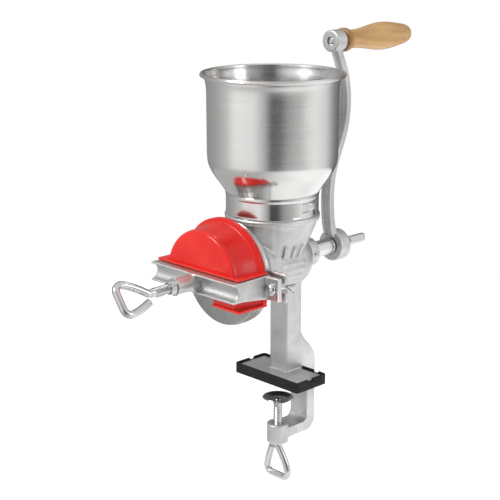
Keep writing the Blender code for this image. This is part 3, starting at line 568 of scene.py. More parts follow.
def casting_ribs():
    """Plain raised ribs along the barrel and round the funnel, on the +X side."""
    ribs = []
    barrel = ((0.0285, -0.0290, -0.0014), (0.0318, 0.0010, 0.0014), SHAFT)
    funnel = ((0.0345, -0.0014, -0.0070), (0.0388, 0.0014, 0.0070), HOPPER + Vector((0, 0, 0.1560)))
    places = [(barrel, (0, -turn, 0)) for turn in (-20, -7, 6)]
    places += [(funnel, (0, 22, turn)) for turn in (-24, -8, 8)]
    for (low, high, place), turns in places:
        rib = block("rib", low, high, 0.0007)
        rib.rotation_euler = [radians(turn) for turn in turns]
        rib.location = place
        ribs.append(settle(rib))
    return ribs


def mill_casting():
    """The body's own shape with its ribs, under one even cast skin."""
    body = merged("mill_casting", copy_of("mill_body", "mill_casting"), *casting_ribs())
    in_cast_metal(cast(body, 0.0011, 5), "frame", "mill_body")


def collar_bead():
    """The machined shoulder the hopper stands on: two rounded beads with a groove between."""
    high, low = 0.17615, 0.1695
    outer, groove = 0.0467, 0.0457
    profile = [(0.0430, low + 0.001), (0.0430, high), (outer - 0.0012, high), (outer, high - 0.0012),
               (outer, high - 0.0026), (groove, high - 0.0031), (groove, high - 0.0037),
               (outer - 0.0003, high - 0.0042), (outer - 0.0006, low + 0.0010), (0.0440, low),
               (0.0430, low + 0.001)]
    bead = turned("collar_bead", profile, HOPPER, sides=144, edge=0.0007)
    in_cast_metal(bead, "frame", "mill_body")


def bearing_boss():
    """The turned end of the bearing boss, its bronze bush and the oil plug."""
    end = high_of("rear_bush", "Y") + 0.0005
    outer, bore = 0.01445, 0.0109
    profile = [(0.0125, end), (outer, end), (outer, end - 0.0105), (outer - 0.0012, end - 0.0115),
               (bore, end - 0.0115), (bore, end), (0.0125, end)]
    in_cast_metal(turned("bearing_boss_ring", profile, SHAFT, "Y", edge=0.0009), "frame", "mill_body")
    low, high = span("rear_bush", "Y")
    profile = [(0.0094, high), (0.0105, high), (0.0105, low), (0.0082, low), (0.0082, high), (0.0094, high)]
    bush = turned("bearing_bush", profile, SHAFT, "Y", edge=0.0005)
    finish_piece(bush, "frame", BUSH_BRONZE, "bronze", "rear_bush")
    head = high_of("bush_oil_plug", "X")
    place = Vector((0, middle("bush_oil_plug").y, SHAFT.z))
    plug = turned("oil_plug", [(0, head - 0.0004), (0.0010, head - 0.0004), (0.0012, head), (0.0020, head),
                               (0.0031, head - 0.0009), (0.0031, 0.0146), (0.0023, 0.0142), (0.0023, 0.0112),
                               (0, 0.0112)], place, "X", 48)
    plated(plug, "frame", "bush_oil_plug")


def rubber_boot():
    """The moulded boot round the base plate, with its lip, moulding notches and the gate for the web."""
    low, high = (Vector(corner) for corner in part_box("base_rubber_pad"))
    boot = block("rubber_boot", low + Vector((0.0006, 0.0006, 0)), high - Vector((0.0006, 0.0006, 0)))
    upright = boot.modifiers.new("upright corners", "BEVEL")
    upright.width, upright.segments, upright.limit_method = 0.0036, 6, "WEIGHT"
    weights = boot.data.attributes.new("bevel_weight_edge", "FLOAT", "EDGE").data
    for edge_line in boot.data.edges:
        ends = [boot.data.vertices[i].co for i in edge_line.vertices]
        weights[edge_line.index].value = float(abs(ends[0].z - ends[1].z) > 0.001)
    apply_all(boot)
    wall, floor = 0.0030, 0.0030
    inside = block("boot_hollow", (low.x + wall, low.y + wall, floor), (high.x - wall, high.y - wall, 0.02))
    gate = block("boot_gate", (-0.0126, 0.010, floor), (0.0126, 0.04, 0.02))
    notches = []
    for x, y in ((low.x + 0.001, 0.0020), (high.x - 0.001, -0.0020), (0.0310, high.y - 0.001),
                 (-0.0310, high.y - 0.001)):
        long_x, long_y = (0.0042, 0.0032) if abs(y) < 0.01 else (0.0032, 0.0042)
        notches.append(block("boot_notch", (x - long_x, y - long_y, high.z - 0.0022),
                             (x + long_x, y + long_y, 0.02)))
    carve(boot, inside, gate, *notches)
    rounding = boot.modifiers.new("moulded edges", "BEVEL")
    rounding.width, rounding.segments, rounding.limit_method = 0.0004, 2, "ANGLE"
    apply_all(boot)
    smooth(boot, 40)
    finish_piece(boot, "frame", RUBBER, "black_rubber", "base_rubber_pad")


# --- hopper ---

RIM_Z = high_of("hopper_rim_wire", "Z")
RIM_R = high_of("hopper_rim_wire", "X")
WALL_R = 0.0638


def hopper_bowl():
    """Spun in one piece: flared mouth, straight wall, rounded shoulder and cone."""
    sheet = 0.0010
    outer = [(RIM_R - 0.0042, RIM_Z - 0.0006), (WALL_R + 0.0020, RIM_Z - 0.0050),
             (WALL_R + 0.0004, RIM_Z - 0.0105), (WALL_R - 0.0002, RIM_Z - 0.0180), (WALL_R - 0.0004, 0.2330),
             (WALL_R - 0.0012, 0.2245), (WALL_R - 0.0055, 0.2155), (0.0505, 0.2050), (0.0462, 0.1985),
             (0.0438, 0.1946), (0.0438, 0.1920)]
    inner = [(r - sheet, h) for r, h in outer]
    profile = outer + inner[::-1] + [outer[0]]
    bowl = turned("hopper_bowl_spun", profile, HOPPER, sides=160, edge=0.0060)
    finish_piece(bowl, "hopper", SPUN, "spun_steel", "hopper_bowl")


def hopper_rim():
    """The rolled edge, curled round its wire."""
    wire_r = 0.0019
    centre = (RIM_R - wire_r, RIM_Z - wire_r)
    rim = turned("hopper_rolled_rim", arc(centre, wire_r, 0, -300, 21), HOPPER, sides=160, ring=True)
    finish_piece(rim, "hopper_lift_ring", SPUN, "spun_steel", "hopper_rim_wire")


def hopper_neck():
    """The neck ring, seamed to the cone at its top, with two bayonet slots."""
    low, high = span("hopper_neck", "Z")
    outer, sheet, seam = high_of("hopper_neck", "X"), 0.0010, high + 0.0026
    profile = [(outer - 0.0004, seam), (outer + 0.0003, seam), (outer, high - 0.0004),
               (outer - 0.0003, high - 0.0014), (outer - 0.0003, low + 0.0020), (outer, low + 0.0012),
               (outer, low), (outer - sheet, low), (outer - sheet, seam), (outer - 0.0004, seam)]
    neck = turned("hopper_neck_ring", profile, HOPPER, sides=144, edge=0.0004)
    slot_low, slot_top, lug_turn, sweep, drop = 0.1820, 0.1915, 15.0, 26.0, 0.0084
    for side in (0, 180):
        middle_turn = lug_turn + 5 - sweep / 2 + side
        for degrees, width, z0, z1 in ((middle_turn, outer * radians(sweep), slot_low, slot_top),
                                       (lug_turn + side, drop, low - 0.01, slot_low + 0.001)):
            tool = block("slot_tool", (-0.005, -width / 2, z0), (0.005, width / 2, z1), 0.0008)
            tool.rotation_euler = (0, 0, radians(degrees))
            tool.location = HOPPER + Vector((outer * cos(radians(degrees)), outer * sin(radians(degrees)), 0))
            carve(neck, settle(tool))
    smooth(neck, 30)
    finish_piece(neck, "hopper", SPUN, "spun_steel", "hopper_neck")


# --- guard ---

def frame_round(name, low, high, inner_low, inner_high, edge):
    """A flat frame: a box with a smaller opening through it."""
    plate = block(name, low, high, edge)
    return carve(plate, block("opening", inner_low, inner_high))


def guard():
    """Moulded cover: turned whole, halved at the shaft, then drawn down on straight sides."""
    front, back, wall = low_of("guard_cover", "Y") + 0.0040, high_of("guard_cover", "Y"), 0.0010
    low = low_of("guard_cover", "Z")
    nose, face_r, back_r, rim_r, rim_t = 0.0034, 0.0474, 0.0522, 0.0545, 0.0046
    rim = back - rim_t
    slope = (back_r - face_r) / (rim - front - nose)
    panel, start, end = 0.0009, front + 0.0066, rim - 0.0022

    def side(y, sunk=0.0):
        return (face_r + slope * (y - front - nose) - sunk, y)

    outer = [(0, front), (face_r - nose, front)] + arc((face_r - nose, front + nose), nose, -75, 0, 7)
    outer += [side(start - 0.0006), side(start, panel), side(end, panel), side(end + 0.0006), side(rim)]
    outer += [(rim_r, rim), (rim_r, rim + 0.0014), (rim_r - 0.0007, rim + 0.0019),
              (rim_r - 0.0007, rim + 0.0026), (rim_r, rim + 0.0031), (rim_r, back)]
    inner = [(back_r - wall, back), (back_r - wall - 0.0010, rim - 0.004),
             (face_r - wall, front + nose + wall), (face_r - nose - wall, front + wall), (0, front + wall)]
    cover = turned("guard_moulding", softened(outer, 0.0004, 2) + inner, SHAFT, "Y", 144)
    edit(cover)
    bpy.ops.mesh.bisect(plane_co=SHAFT, plane_no=(0, 0, 1), clear_inner=True)
    bpy.ops.mesh.extrude_edges_move(TRANSFORM_OT_translate={"value": (0, 0, low - SHAFT.z)})
    bpy.ops.mesh.edge_face_add()
    tidy(cover)
    yoke_top = high_of("yoke", "Z") + GAP
    lip_x, hem_x, inside = 0.0558, 0.0543, face_r - 0.0005
    lip = frame_round("guard_lip", (-lip_x, front - 0.0036, yoke_top), (lip_x, back, yoke_top + 0.0022),
                      (-inside, front + 0.0005, yoke_top - 0.01), (inside, back + 0.01, yoke_top + 0.01),
                      0.0006)
    hem = frame_round("guard_hem", (-hem_x, front - 0.0016, low), (hem_x, back - 0.0012, low + 0.0024),
                      (-inside, front + 0.0005, low - 0.01), (inside, back + 0.01, low + 0.01), 0.0006)
    notch = block("guard_notch", (-0.0400, front - 0.012, low - 0.01),
                  (0.0185, front + 0.012, SHAFT.z + 0.0061))
    carve(cover, lip, hem, operation="UNION")
    carve(cover, notch)
    smooth(cover, 35)
    finish_piece(cover, "frame", RED, "red_plastic", "guard_cover")


# --- yoke, pins and lock nut ---

LUG_Z = middle("yoke_pin_near").z
PIN_X = middle("yoke_pin_near").x
PIN_FRONT = low_of("yoke_pin_near", "Y")
LUG_FRONT = -0.0775
SIDES = ((-1, "far"), (1, "near"))


def yoke():
    """The yoke's own shape under a fine cast skin, with the machined strips at its lugs."""
    made = cast(copy_of("yoke", "yoke_casting"), 0.0007, 4)
    in_cast_metal(made, "frame", "yoke")
    for side, name in SIDES:
        ends = sorted((side * 0.0690, side * 0.07195))
        strip = block("lug_strip_" + name, (ends[0], LUG_FRONT - 0.0001, LUG_Z - 0.0108),
                      (ends[1], LUG_FRONT + 0.0050, LUG_Z + 0.0108), 0.0005)
        in_cast_metal(strip, "frame", "yoke", TURNED_Y)


def yoke_pins():
    """Dome-headed pins with split pins through their tails."""
    back = high_of("yoke_pin_near", "Y")
    seat = LUG_FRONT - GAP
    head_r, shank_r = 0.0060, 0.0031
    dome_h = seat - PIN_FRONT
    dome = [(head_r * sin(radians(a)), PIN_FRONT + dome_h * (1 - cos(radians(a))))
            for a in range(90, -1, -9)]
    for side, name in SIDES:
        place = Vector((side * PIN_X, 0, LUG_Z))
        profile = [(0, back), (shank_r - 0.0005, back), (shank_r, back - 0.0005), (shank_r, seat)] + dome
        plated(turned("yoke_pin_head_" + name, profile, place, "Y", 64), "frame", "yoke_pin_" + name)
        split_y, r = middle("split_pin_near").y, 0.00065
        leg, tail = r + 0.0001, PIN_X + 0.0150
        flat = [(tail, leg + 0.0042), (PIN_X + shank_r + 0.0012, leg), (PIN_X - shank_r - 0.0008, leg)]
        loop = [(PIN_X - shank_r - 0.0024 - x, z) for z, x in arc((0, 0), 0.0019, 20, 160, 13)]
        flat += loop + [(x, -z) for x, z in flat[::-1]]
        points = [(side * x, split_y, LUG_Z + z) for x, z in flat]
        plated(wire("split_pin_wire_" + name, points, r), "frame", "split_pin_" + name, ZINC_Z)


def lock_nut():
    nut = cast(copy_of("lock_wing_nut", "wing_nut_casting"), 0.00045, 5)
    in_cast_metal(nut, "lock_nut", "lock_wing_nut")
    plated(washer("lock_washer", 0.0051, 0.0085, SHAFT), "lock_slide", "lock_washer")


def washer(node, bore, outer, place, name=None):
    low, high = span(node, "Y")
    half = (bore + outer) / 2
    profile = [(half, high), (outer, high), (outer, low), (bore, low), (bore, high), (half, high)]
    return turned(name or node + "_ring", profile, place, "Y", 72, edge=0.0004)


# --- discs and shaft ---

HUB_FRONT = low_of("crank_washer", "Y") - 0.0152


def disc_teeth(name, face, facing, inner, outer, count):
    """Radial grinding ridges on a disc's face, a low bar for each."""
    bars = []
    for i in range(count):
        bar = block(name, (inner, -0.00030, -0.0007), (outer, 0.00015, 0.0007), 0.0002, 1)
        bar.rotation_euler = (0, radians(360 * i / count), 0)
        bar.location = SHAFT + Vector((0, face + facing * 0.00012, 0))
        bars.append(settle(bar))
    return merged(name, *bars)


def discs():
    """Fixed and turning discs with their grinding faces, the carrier and its screws."""
    for node, body, inner, facing in (("fixed_burr", "frame", 0.0235, -1),
                                      ("rotating_burr", "rotor", 0.0130, 1)):
        low, high = span(node, "Y")
        outer = high_of(node, "X")
        half = (inner + outer) / 2
        disc = turned(node + "_disc", [(half, high), (outer, high), (outer, low), (inner, low), (inner, high),
                                       (half, high)], SHAFT, "Y", 144, edge=0.0006)
        in_cast_metal(disc, body, node, GROUND_Y)
        face = low if facing < 0 else high
        teeth = disc_teeth(node + "_teeth", face, facing, 0.0260, outer - 0.0040, 48)
        in_cast_metal(teeth, body, node, GROUND_Y)
    low, high = span("burr_carrier", "Y")
    outer, hub, face = 0.0494, 0.0130, low + 0.0060
    profile = [(0.030, high), (outer, high), (outer, face + 0.0012), (outer - 0.0014, face),
               (hub + 0.0022, face), (hub, face - 0.0022), (hub, low), (0.0082, low), (0.0082, high),
               (0.030, high)]
    in_cast_metal(turned("disc_carrier", profile, SHAFT, "Y", 144, edge=0.0006), "rotor", "burr_carrier",
                  CAST_DARK)
    for kind, body in (("rotor", "rotor"), ("burr", "frame")):
        for end in ("near", "far"):
            node = kind + "_screw_" + end
            finish_piece(slotted_screw(node), body, ZINC_Y, "steel", node)


def slotted_screw(node):
    """A countersunk screw with a driver slot."""
    centre, (front, back) = middle(node), span(node, "Y")
    profile = [(0, back), (0.0021, back), (0.0021, front + 0.0020), (0.0040, front + 0.0001), (0.0038, front),
               (0, front)]
    screw = turned(node + "_head", profile, Vector((centre.x, 0, centre.z)), "Y", 40)
    slot = block("driver_slot", (centre.x - 0.005, front - 0.001, centre.z - 0.0005),
                 (centre.x + 0.005, front + 0.0009, centre.z + 0.0005))
    carve(screw, slot)
    smooth(screw, 30)
    return screw


def feed_shaft():
    """Turned shaft, a touch thicker towards the crank, with its square end and the feed flight."""
    front, end = span("auger_shaft", "Y")
    hub = HUB_FRONT
    shaft = turned("feed_shaft", [(0, hub), (0.0087, hub), (0.0087, hub - 0.0018), (0.0084, hub - 0.0026),
                                  (0.0079, 0.0436), (0.0079, front + 0.001), (0.0069, front), (0, front)],
                   SHAFT, "Y", 96, edge=0.0005)
    finish_piece(shaft, "rotor", TURNED_Y, "steel", "auger_shaft")
    half = 0.0055 - GAP
    square = block("shaft_square", (-half, hub - 0.004, SHAFT.z - half), (half, end, SHAFT.z + half), 0.0006)
    carve(square, post("tapped_hole", 0.0043, SHAFT, end - 0.0130, end + 0.01, "Y", 48))
    finish_piece(square, "rotor", TURNED_Y, "steel", "auger_shaft")
    pitch, turns, thick, core, reach = 0.0220, 3, 0.0028, 0.0070, 0.0209
    deselect()
    bpy.ops.mesh.primitive_plane_add(size=1, location=(0, 0, 0), rotation=(pi / 2, 0, 0))
    flight = named("feed_flight")
    flight.scale = (reach - core, thick, 1)
    flight.location = ((reach + core) / 2, 0, 0)
    settle(flight)
    edit(flight)
    bpy.ops.mesh.delete(type="ONLY_FACE")
    leave_edit()
    wound(flight, pitch, turns, 60)
    stand(flight, SHAFT + Vector((0, -0.0573, 0)), "Y")
    smooth(flight, 40)
    finish_piece(flight, "rotor", TURNED_Y, "steel", "auger_shaft")


def close_ends(piece):
    """Faces over a piece's open ends."""
    edit(piece)
    bpy.ops.mesh.remove_doubles(threshold=WELD)
    bpy.ops.mesh.select_mode(type="EDGE")
    bpy.ops.mesh.select_all(action="DESELECT")
    bpy.ops.mesh.select_non_manifold()
    bpy.ops.mesh.fill_holes(sides=0)
    bpy.ops.mesh.select_all(action="SELECT")
    bpy.ops.mesh.normals_make_consistent(inside=False)
    leave_edit()


def wound(piece, pitch, turns, steps):
    """Winds an open outline up +Z as a screw and closes its ends."""
    screw = piece.modifiers.new("wind", "SCREW")
    screw.screw_offset, screw.iterations, screw.steps, screw.render_steps = pitch, turns, steps, steps
    screw.use_merge_vertices, screw.merge_threshold = True, 0.000001
    apply_all(piece)
    close_ends(piece)


# --- screws with bent eyes ---

ROD_R, WIRE_R = 0.0046, 0.0037
EYE_HALF, EYE_LENGTH = 0.0145, 0.0330


def threaded_rod(name, low, high, place, axis, pitch):
    """A coarse screw thread: one tooth wound up the rod, over its core."""
    turns = int((high - low) / pitch)
    root = ROD_R - 0.00055
    outline = [(root, 0), (ROD_R, pitch * 0.42), (ROD_R, pitch * 0.58), (root, pitch)]
    deselect()
    bpy.ops.mesh.primitive_plane_add(size=0.001)
    tooth = named(name)
    edit(tooth)
    bpy.ops.mesh.select_mode(type="VERT")
    bpy.ops.mesh.select_all(action="SELECT")
    bpy.ops.mesh.merge(type="CENTER")
    bpy.ops.transform.translate(value=(root, 0, 0))
    for (r, h), (next_r, next_h) in zip(outline, outline[1:]):
        bpy.ops.mesh.extrude_vertices_move(TRANSFORM_OT_translate={"value": (next_r - r, 0, next_h - h)})
    leave_edit()
    wound(tooth, pitch, turns, 40)
    stand(tooth, place + UNIT[axis] * low, axis)
    smooth(tooth, 25)
    return tooth


def eye_points(start, across, away):
    """Out from the rod and round a bowed triangle with rounded corners, back to end beside the rod."""
    corner, tilt, steps = 0.0068, 17.0, 10
    side, far = EYE_HALF - corner, EYE_LENGTH - corner
    wide, low = side + corner * cos(radians(tilt)), far - corner * sin(radians(tilt))
    bows = [(i / steps, 0.5 * i / steps + 0.5 * sin(pi / 2 * i / steps)) for i in range(1, steps)]
    end_x, end_y = 2 * WIRE_R + 0.0004, 0.0030
    flat = [(0.0, -0.0060), (0.0, 0.0)] + [(wide * bow, low * t) for t, bow in bows]
    flat += arc((side, far), corner, -tilt, 90, 14) + arc((-side, far), corner, 90, 180 + tilt, 14)
    flat += [(-end_x - (wide - end_x) * bow, end_y + (low - end_y) * t) for t, bow in bows[::-1]]
    flat += [(-end_x, end_y)]
    return [start + across * x + away * y for x, y in flat]


def eyed_screw(name, node, body, place, axis, plating, pitch, across):
    """A threaded rod with its low end bent into an eye."""
    root, tip = low_of(node, axis) + EYE_LENGTH + WIRE_R, high_of(node, axis)
    core = ROD_R - 0.0004
    profile = [(0, tip), (0.0036, tip), (core, tip - 0.0009), (core, root + 0.0040), (WIRE_R, root + 0.0010),
               (0, root + 0.0010)]
    rod = turned(name + "_rod", profile, place, axis, 64, edge=0.0004)
    plated(rod, body, node, plating)
    thread = threaded_rod(name + "_thread", root + 0.0055, tip - 0.0012, place, axis, pitch)
    plated(thread, body, node, plating)
    points = eye_points(place + UNIT[axis] * root, across, -UNIT[axis])
    plated(wire(name + "_eye", points, WIRE_R, 8), body, node, ZINC_Z)


def adjusting_screw():
    across = Vector((cos(radians(126)), 0, sin(radians(126))))
    eyed_screw("adjusting", "adjusting_screw", "adjuster", SHAFT, "Y", ZINC_Y, 0.0015, across)


def clamp_screw():
    eyed_screw("clamp", "clamp_screw", "clamp_rod", CLAMP, "Z", ZINC_Z, 0.0018, Vector((1, 0, 0)))


def clamp_pad():
    """The pressed dish that grips the table from below, riveted to the screw."""
    (low, top), radius = span("clamp_pad", "Z"), high_of("clamp_pad", "X")
    floor_z, lip = top - 0.0034, radius - 0.0016
    sheet = [(0, floor_z), (radius - 0.0075, floor_z), (radius - 0.0050, top - 0.0028), (lip, top - 0.0003)]
    cup = [(r, h - 0.0007) for r, h in sheet]
    cup += [(lip, top - 0.0001), (radius - 0.0006, top), (radius, top - 0.0007),
            (radius - 0.0010, top - 0.0016), (radius - 0.0046, low + 0.0008), (radius - 0.0066, low),
            (0, low)]
    hollow = sheet + [(r, h - 0.0003) for r, h in sheet[::-1]]
    # The dish's inside is a thin skin in the darker steel: painted shade in the dish.
    for name, profile, material in (("pad_cup", cup, ZINC_Z), ("pad_hollow", hollow, PAD_DISH_SHADE)):
        plated(turned(name, profile, CLAMP, sides=120), "clamp_foot", "clamp_pad", material)
    rivet = [(0, top - 0.0014), (0.0012, top - 0.0015), (0.0024, top - 0.0020), (0.0031, top - 0.0028),
             (0.0033, floor_z), (0, floor_z)]
    plated(turned("pad_rivet", rivet, CLAMP, sides=48, edge=0.0004), "clamp_foot", "clamp_pad", ZINC_Z)


# --- crank and grip ---

TOP_FRONT = 0.0680


def arm_route():
    """The arm's swan neck as (y, height above the shaft)."""
    y = HUB_FRONT
    return [(y + 0.0010, 0.0120), (y - 0.0025, 0.0200), (y - 0.0048, 0.0380), (y - 0.0052, 0.0600),
            (y - 0.0015, 0.0810), (y + 0.0065, 0.0990), (y + 0.0150, 0.1180), (y + 0.0192, 0.1380),
            (y + 0.0192, 0.1580), (y + 0.0155, 0.1760), (y + 0.0085, 0.1920), (y + 0.0030, 0.2045)]


def arm_section():
    """The arm cut across, as (thickness, width) points, with a channel down each broad face."""
    wide, thick, flange, sunk, soft = 0.0065, 0.0040, 0.0023, 0.0018, 0.0009
    quarter = [(thick - soft, wide), (thick, wide - soft), (thick, wide - flange),
               (thick - sunk, wide - flange - soft)]
    upper = quarter + [(t, -w) for t, w in quarter[::-1]]
    return upper + [(-t, -w) for t, w in upper]


def flat_curve(kind, places, closed=False):
    """A curve through flat places, in its own XY plane."""
    deselect()
    bpy.ops.curve.primitive_bezier_curve_add(location=(0, 0, 0))
    curve = bpy.context.object
    curve.data.splines.clear()
    curve.data.dimensions = "2D"
    line = curve.data.splines.new(kind)
    line.points.add(len(places) - 1)
    for point, place in zip(line.points, places):
        point.co = (*place, 0, 1)
    line.use_cyclic_u = closed
    return curve


def arm_sweep():
    """The section swept up the swan neck, growing narrower towards the grip."""
    section = flat_curve("POLY", arm_section(), closed=True)
    route = flat_curve("NURBS", [(y, SHAFT.z + h) for y, h in arm_route()])
    path = route.data.splines[0]
    for point in path.points:
        point.radius = 1 - 0.20 * (point.co.y - SHAFT.z) / (GRIP.z - SHAFT.z)
    path.use_endpoint_u, path.order_u = True, 3
    route.data.resolution_u = 10
    route.data.bevel_mode, route.data.bevel_object = "OBJECT", section
    route.data.use_fill_caps = True
    route.rotation_euler = (pi / 2, 0, pi / 2)
    pick(route)
    bpy.ops.object.convert(target="MESH")
    arm = settle(bpy.context.object)
    tidy(arm)
    bpy.data.objects.remove(section, do_unlink=True)
    return arm


def crank_arm():
    """The cast arm, its hub and its top boss, under one skin."""
    hub_t, hub_r = 0.0149, 0.0160
    hub = turned("hub", [(0, HUB_FRONT + hub_t), (hub_r - 0.0012, HUB_FRONT + hub_t),
                         (hub_r, HUB_FRONT + hub_t - 0.0012), (hub_r, HUB_FRONT + 0.0010),
                         (hub_r - 0.0010, HUB_FRONT), (0, HUB_FRONT)], SHAFT, "Y", 96)
    top = post("top_boss", 0.0109, GRIP, TOP_FRONT, TOP_FRONT + 0.0143, "Y", 72, 0.0008)
    dot = post("arm_dot", 0.0016, Vector((0, 0, SHAFT.z + 0.0290)), HUB_FRONT - 0.0070, HUB_FRONT - 0.0030,
               "Y", 24, 0.0005)
    arm = merged("crank_casting", arm_sweep(), hub, top, dot)
    cast(arm, 0.0007, 3)
    half = 0.0055
    carve(arm, block("square_hole", (-half, HUB_FRONT - 0.02, SHAFT.z - half),
                     (half, HUB_FRONT + 0.04, SHAFT.z + half)))
    carve(arm, post("shaft_seat", 0.0098, SHAFT, HUB_FRONT - 0.02, HUB_FRONT + 0.0006, "Y", 64))
    carve(arm, post("bolt_hole", 0.0034, GRIP, TOP_FRONT - 0.01, TOP_FRONT + 0.03, "Y", 48))
    carve(arm, post("bolt_recess", 0.0043, GRIP, TOP_FRONT - 0.01, TOP_FRONT + 0.0029, "Y", 48))
    smooth(arm, 50)
    in_cast_metal(arm, "rotor", "crank_arm")


def crank_fixings():
    plated(washer("crank_washer", 0.0043, 0.0110, SHAFT), "crank_clip", "crank_washer")
    head = high_of("crank_washer", "Y") + GAP
    foot, tip = span("crank_thumb_screw", "Y")
    screw = turned("thumb_screw_body", [(0, head + 0.0120), (0.0036, head + 0.0118), (0.0046, head + 0.0090),
                                        (0.0066, head + 0.0048), (0.0072, head + 0.0030), (0.0072, head),
                                        (0.0040, head), (0.0040, foot + 0.0008), (0.0034, foot), (0, foot)],
                   SHAFT, "Y", 64, edge=0.0006)
    tab = block("thumb_tab", (-0.0027, head + 0.0070, SHAFT.z - 0.0047), (0.0027, tip, SHAFT.z + 0.0047),
                0.0022, 4)
    screw = cast(merged("thumb_screw_casting", screw, tab), 0.0004, 3)
    plated(screw, "thumb_screw", "crank_thumb_screw")
    ring = washer("handle_washer", 0.0034, 0.0085, GRIP, "grip_washer")
    plated(ring, "rotor", "handle_washer")
    low, high = span("handle_bolt", "Y")
    bolt = turned("grip_bolt", [(0, high), (0.0030, high), (0.0030, low + 0.0022), (0.0036, low + 0.0020),
                                (0.0034, low + 0.0010), (0.0030, low + 0.0003), (0.0016, low),
                                (0.0012, low + 0.0006), (0, low + 0.0007)], GRIP, "Y", 48, edge=0.0003)
    plated(bolt, "rotor", "handle_bolt")


def wooden_grip():
    """Turned grip: a collar at the arm, a waist, a belly and a rounded end."""
    start, end = span("wooden_grip", "Y")
    outer = [(0, end), (0.0040, end - 0.0004), (0.0075, end - 0.0026), (0.0098, end - 0.0072),
             (0.0117, end - 0.0190), (0.0136, end - 0.0320), (0.0143, end - 0.0430), (0.0134, end - 0.0545),
             (0.0114, end - 0.0670), (0.0098, end - 0.0780), (0.0092, end - 0.0880), (0.0096, start + 0.0088),
             (0.0099, start + 0.0078), (0.0109, start + 0.0071), (0.0118, start + 0.0052),
             (0.0119, start + 0.0018), (0.0112, start), (0.0034, start), (0.0034, start + 0.080),
             (0, start + 0.080)]
    finish_piece(turned("grip_turning", outer, GRIP, "Y", 96, edge=0.0050), "grip", WOOD, "turned_wood",
                 "wooden_grip")


# --- hidden nodes that keep their own shape ---

def carried_over():
    for node in ("thrust_ball", "drive_pin"):
        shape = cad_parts[node]
        shape.data.materials.clear()
        shape.data.materials.append(TURNED_Y)


# --- stage ---

def floor():
    """A round pale floor a little below the clamp's eye. It is evenly pale to the camera, and in reflections
    it is darker with painted light on it.
    """
    deselect()
    bpy.ops.mesh.primitive_circle_add(vertices=160, radius=0.85, fill_type="NGON",
                                      location=(0, 0, cad_box[0][2] - 0.030))
    ground = bpy.context.object
    ground.name = "floor"
    made, tree, shader = finish("pale_floor", Roughness=0.9, Specular_IOR_Level=0.0,
                                Emission_Color=(1, 1, 1, 1))
    mirrored = new_node(tree, "LightPath").outputs["Is Glossy Ray"]
    # In reflections the floor is painted darker than it is.
    tree.links.new(mixed(tree, mirrored, (0.95, 0.95, 0.95, 1), (0.30, 0.30, 0.30, 1)),
                   shader.inputs["Base Color"])
    where = new_node(tree, "TexCoord").outputs["Object"]
    parts = new_node(tree, "SeparateXYZ", [("Vector", where)]).outputs
    # Painted light seen only in reflections: brighter towards +X and +Y, with a painted pool of light round
    # the mill.
    slope = spread(tree, sums(tree, "ADD", parts["X"], parts["Y"]), -0.30, 0.45, 0.26, 1.0)
    away = new_node(tree, "VectorMath", [(0, where)], operation="LENGTH").outputs["Value"]
    painted_reflection_light = sums(tree, "ADD", slope, spread(tree, away, 0.06, 0.28, 0.30, 0.0))
    level = new_node(tree, "Mix", [("Factor", mirrored), ("A", 0.50), ("B", painted_reflection_light)]).outputs["Result"]
    tree.links.new(level, shader.inputs["Emission Strength"])
    ground.data.materials.append(made)


def lamp(name, place, size, watts):
    """A square soft lamp aimed at the mill."""
    light = bpy.data.lights.new(name, "AREA")
    light.size, light.energy = size, watts
    lamp_object = added(name, light)
    lamp_object.location = place
    lamp_object.rotation_euler = (Vector((0, 0, 0.15)) - Vector(place)).to_track_quat("-Z", "Y").to_euler()


# The brightness of the room round the mill, as (degrees round +Z from +X, level).
FLATS = [(-180, 0.38), (-158, 0.46), (-132, 0.66), (-118, 0.94), (-78, 1.0), (-58, 0.50), (-48, 0.07),
         (-32, 0.09), (-18, 0.36), (8, 0.60), (34, 1.0), (58, 0.84), (84, 0.32), (112, 0.12), (140, 0.26),
         (180, 0.38)]


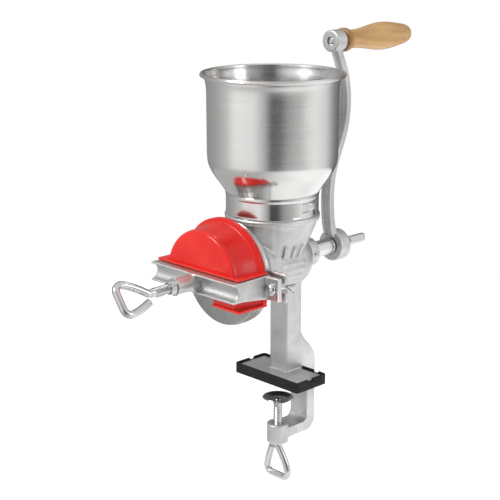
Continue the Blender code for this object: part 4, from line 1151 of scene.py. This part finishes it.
def studio():
    """A white room with a few darker flats standing round it, and soft lamps."""
    room = bpy.data.worlds.new("studio")
    bpy.context.scene.world = room
    room.use_nodes = True
    tree = room.node_tree
    back = tree.nodes["Background"]
    parts = new_node(tree, "SeparateXYZ",
                     [("Vector", new_node(tree, "TexCoord").outputs["Generated"])]).outputs
    turn = new_node(tree, "Math", [(0, parts["Y"]), (1, parts["X"])], operation="ARCTAN2").outputs[0]
    share = spread(tree, turn, -pi, pi)
    ramp = new_node(tree, "ValToRGB", [("Fac", share)])
    while len(ramp.color_ramp.elements) < len(FLATS):
        ramp.color_ramp.elements.new(0.5)
    for element, (degrees, level) in zip(ramp.color_ramp.elements, FLATS):
        element.position = (degrees + 180) / 360
        element.color = (level, level, level, 1)
    above = spread(tree, parts["Z"], 0.45, 0.9)
    mirrored = mixed(tree, above, ramp.outputs["Color"], (0.85, 0.85, 0.85, 1))
    rays = new_node(tree, "LightPath").outputs
    open_air = mixed(tree, rays["Is Diffuse Ray"], (1.0, 1.0, 1.0, 1), (0.54, 0.54, 0.54, 1))
    tree.links.new(mixed(tree, rays["Is Glossy Ray"], open_air, mirrored), back.inputs["Color"])
    back.inputs["Strength"].default_value = 1.0
    lamp("key", (-0.5, -1.3, 1.3), 0.5, 15)
    lamp("side", (1.7, 0.5, 0.8), 0.6, 3)


def camera():
    eye, sight = Vector((0.8589, -0.8834, 0.4662)), Vector((-0.6901, 0.6753, -0.2601))
    lens = bpy.data.cameras.new("camera")
    lens.lens, lens.sensor_width = 92.65, 36.0
    lens.clip_end = 200
    view = added("camera", lens)
    view.location = eye
    view.rotation_euler = sight.to_track_quat("-Z", "Y").to_euler()
    bpy.context.scene.camera = view


mill_casting()
collar_bead()
bearing_boss()
rubber_boot()
hopper_bowl()
hopper_rim()
hopper_neck()
guard()
yoke()
yoke_pins()
lock_nut()
discs()
feed_shaft()
adjusting_screw()
clamp_screw()
clamp_pad()
crank_arm()
crank_fixings()
wooden_grip()
carried_over()
floor()
studio()
camera()
bpy.context.scene.view_settings.view_transform = "Standard"
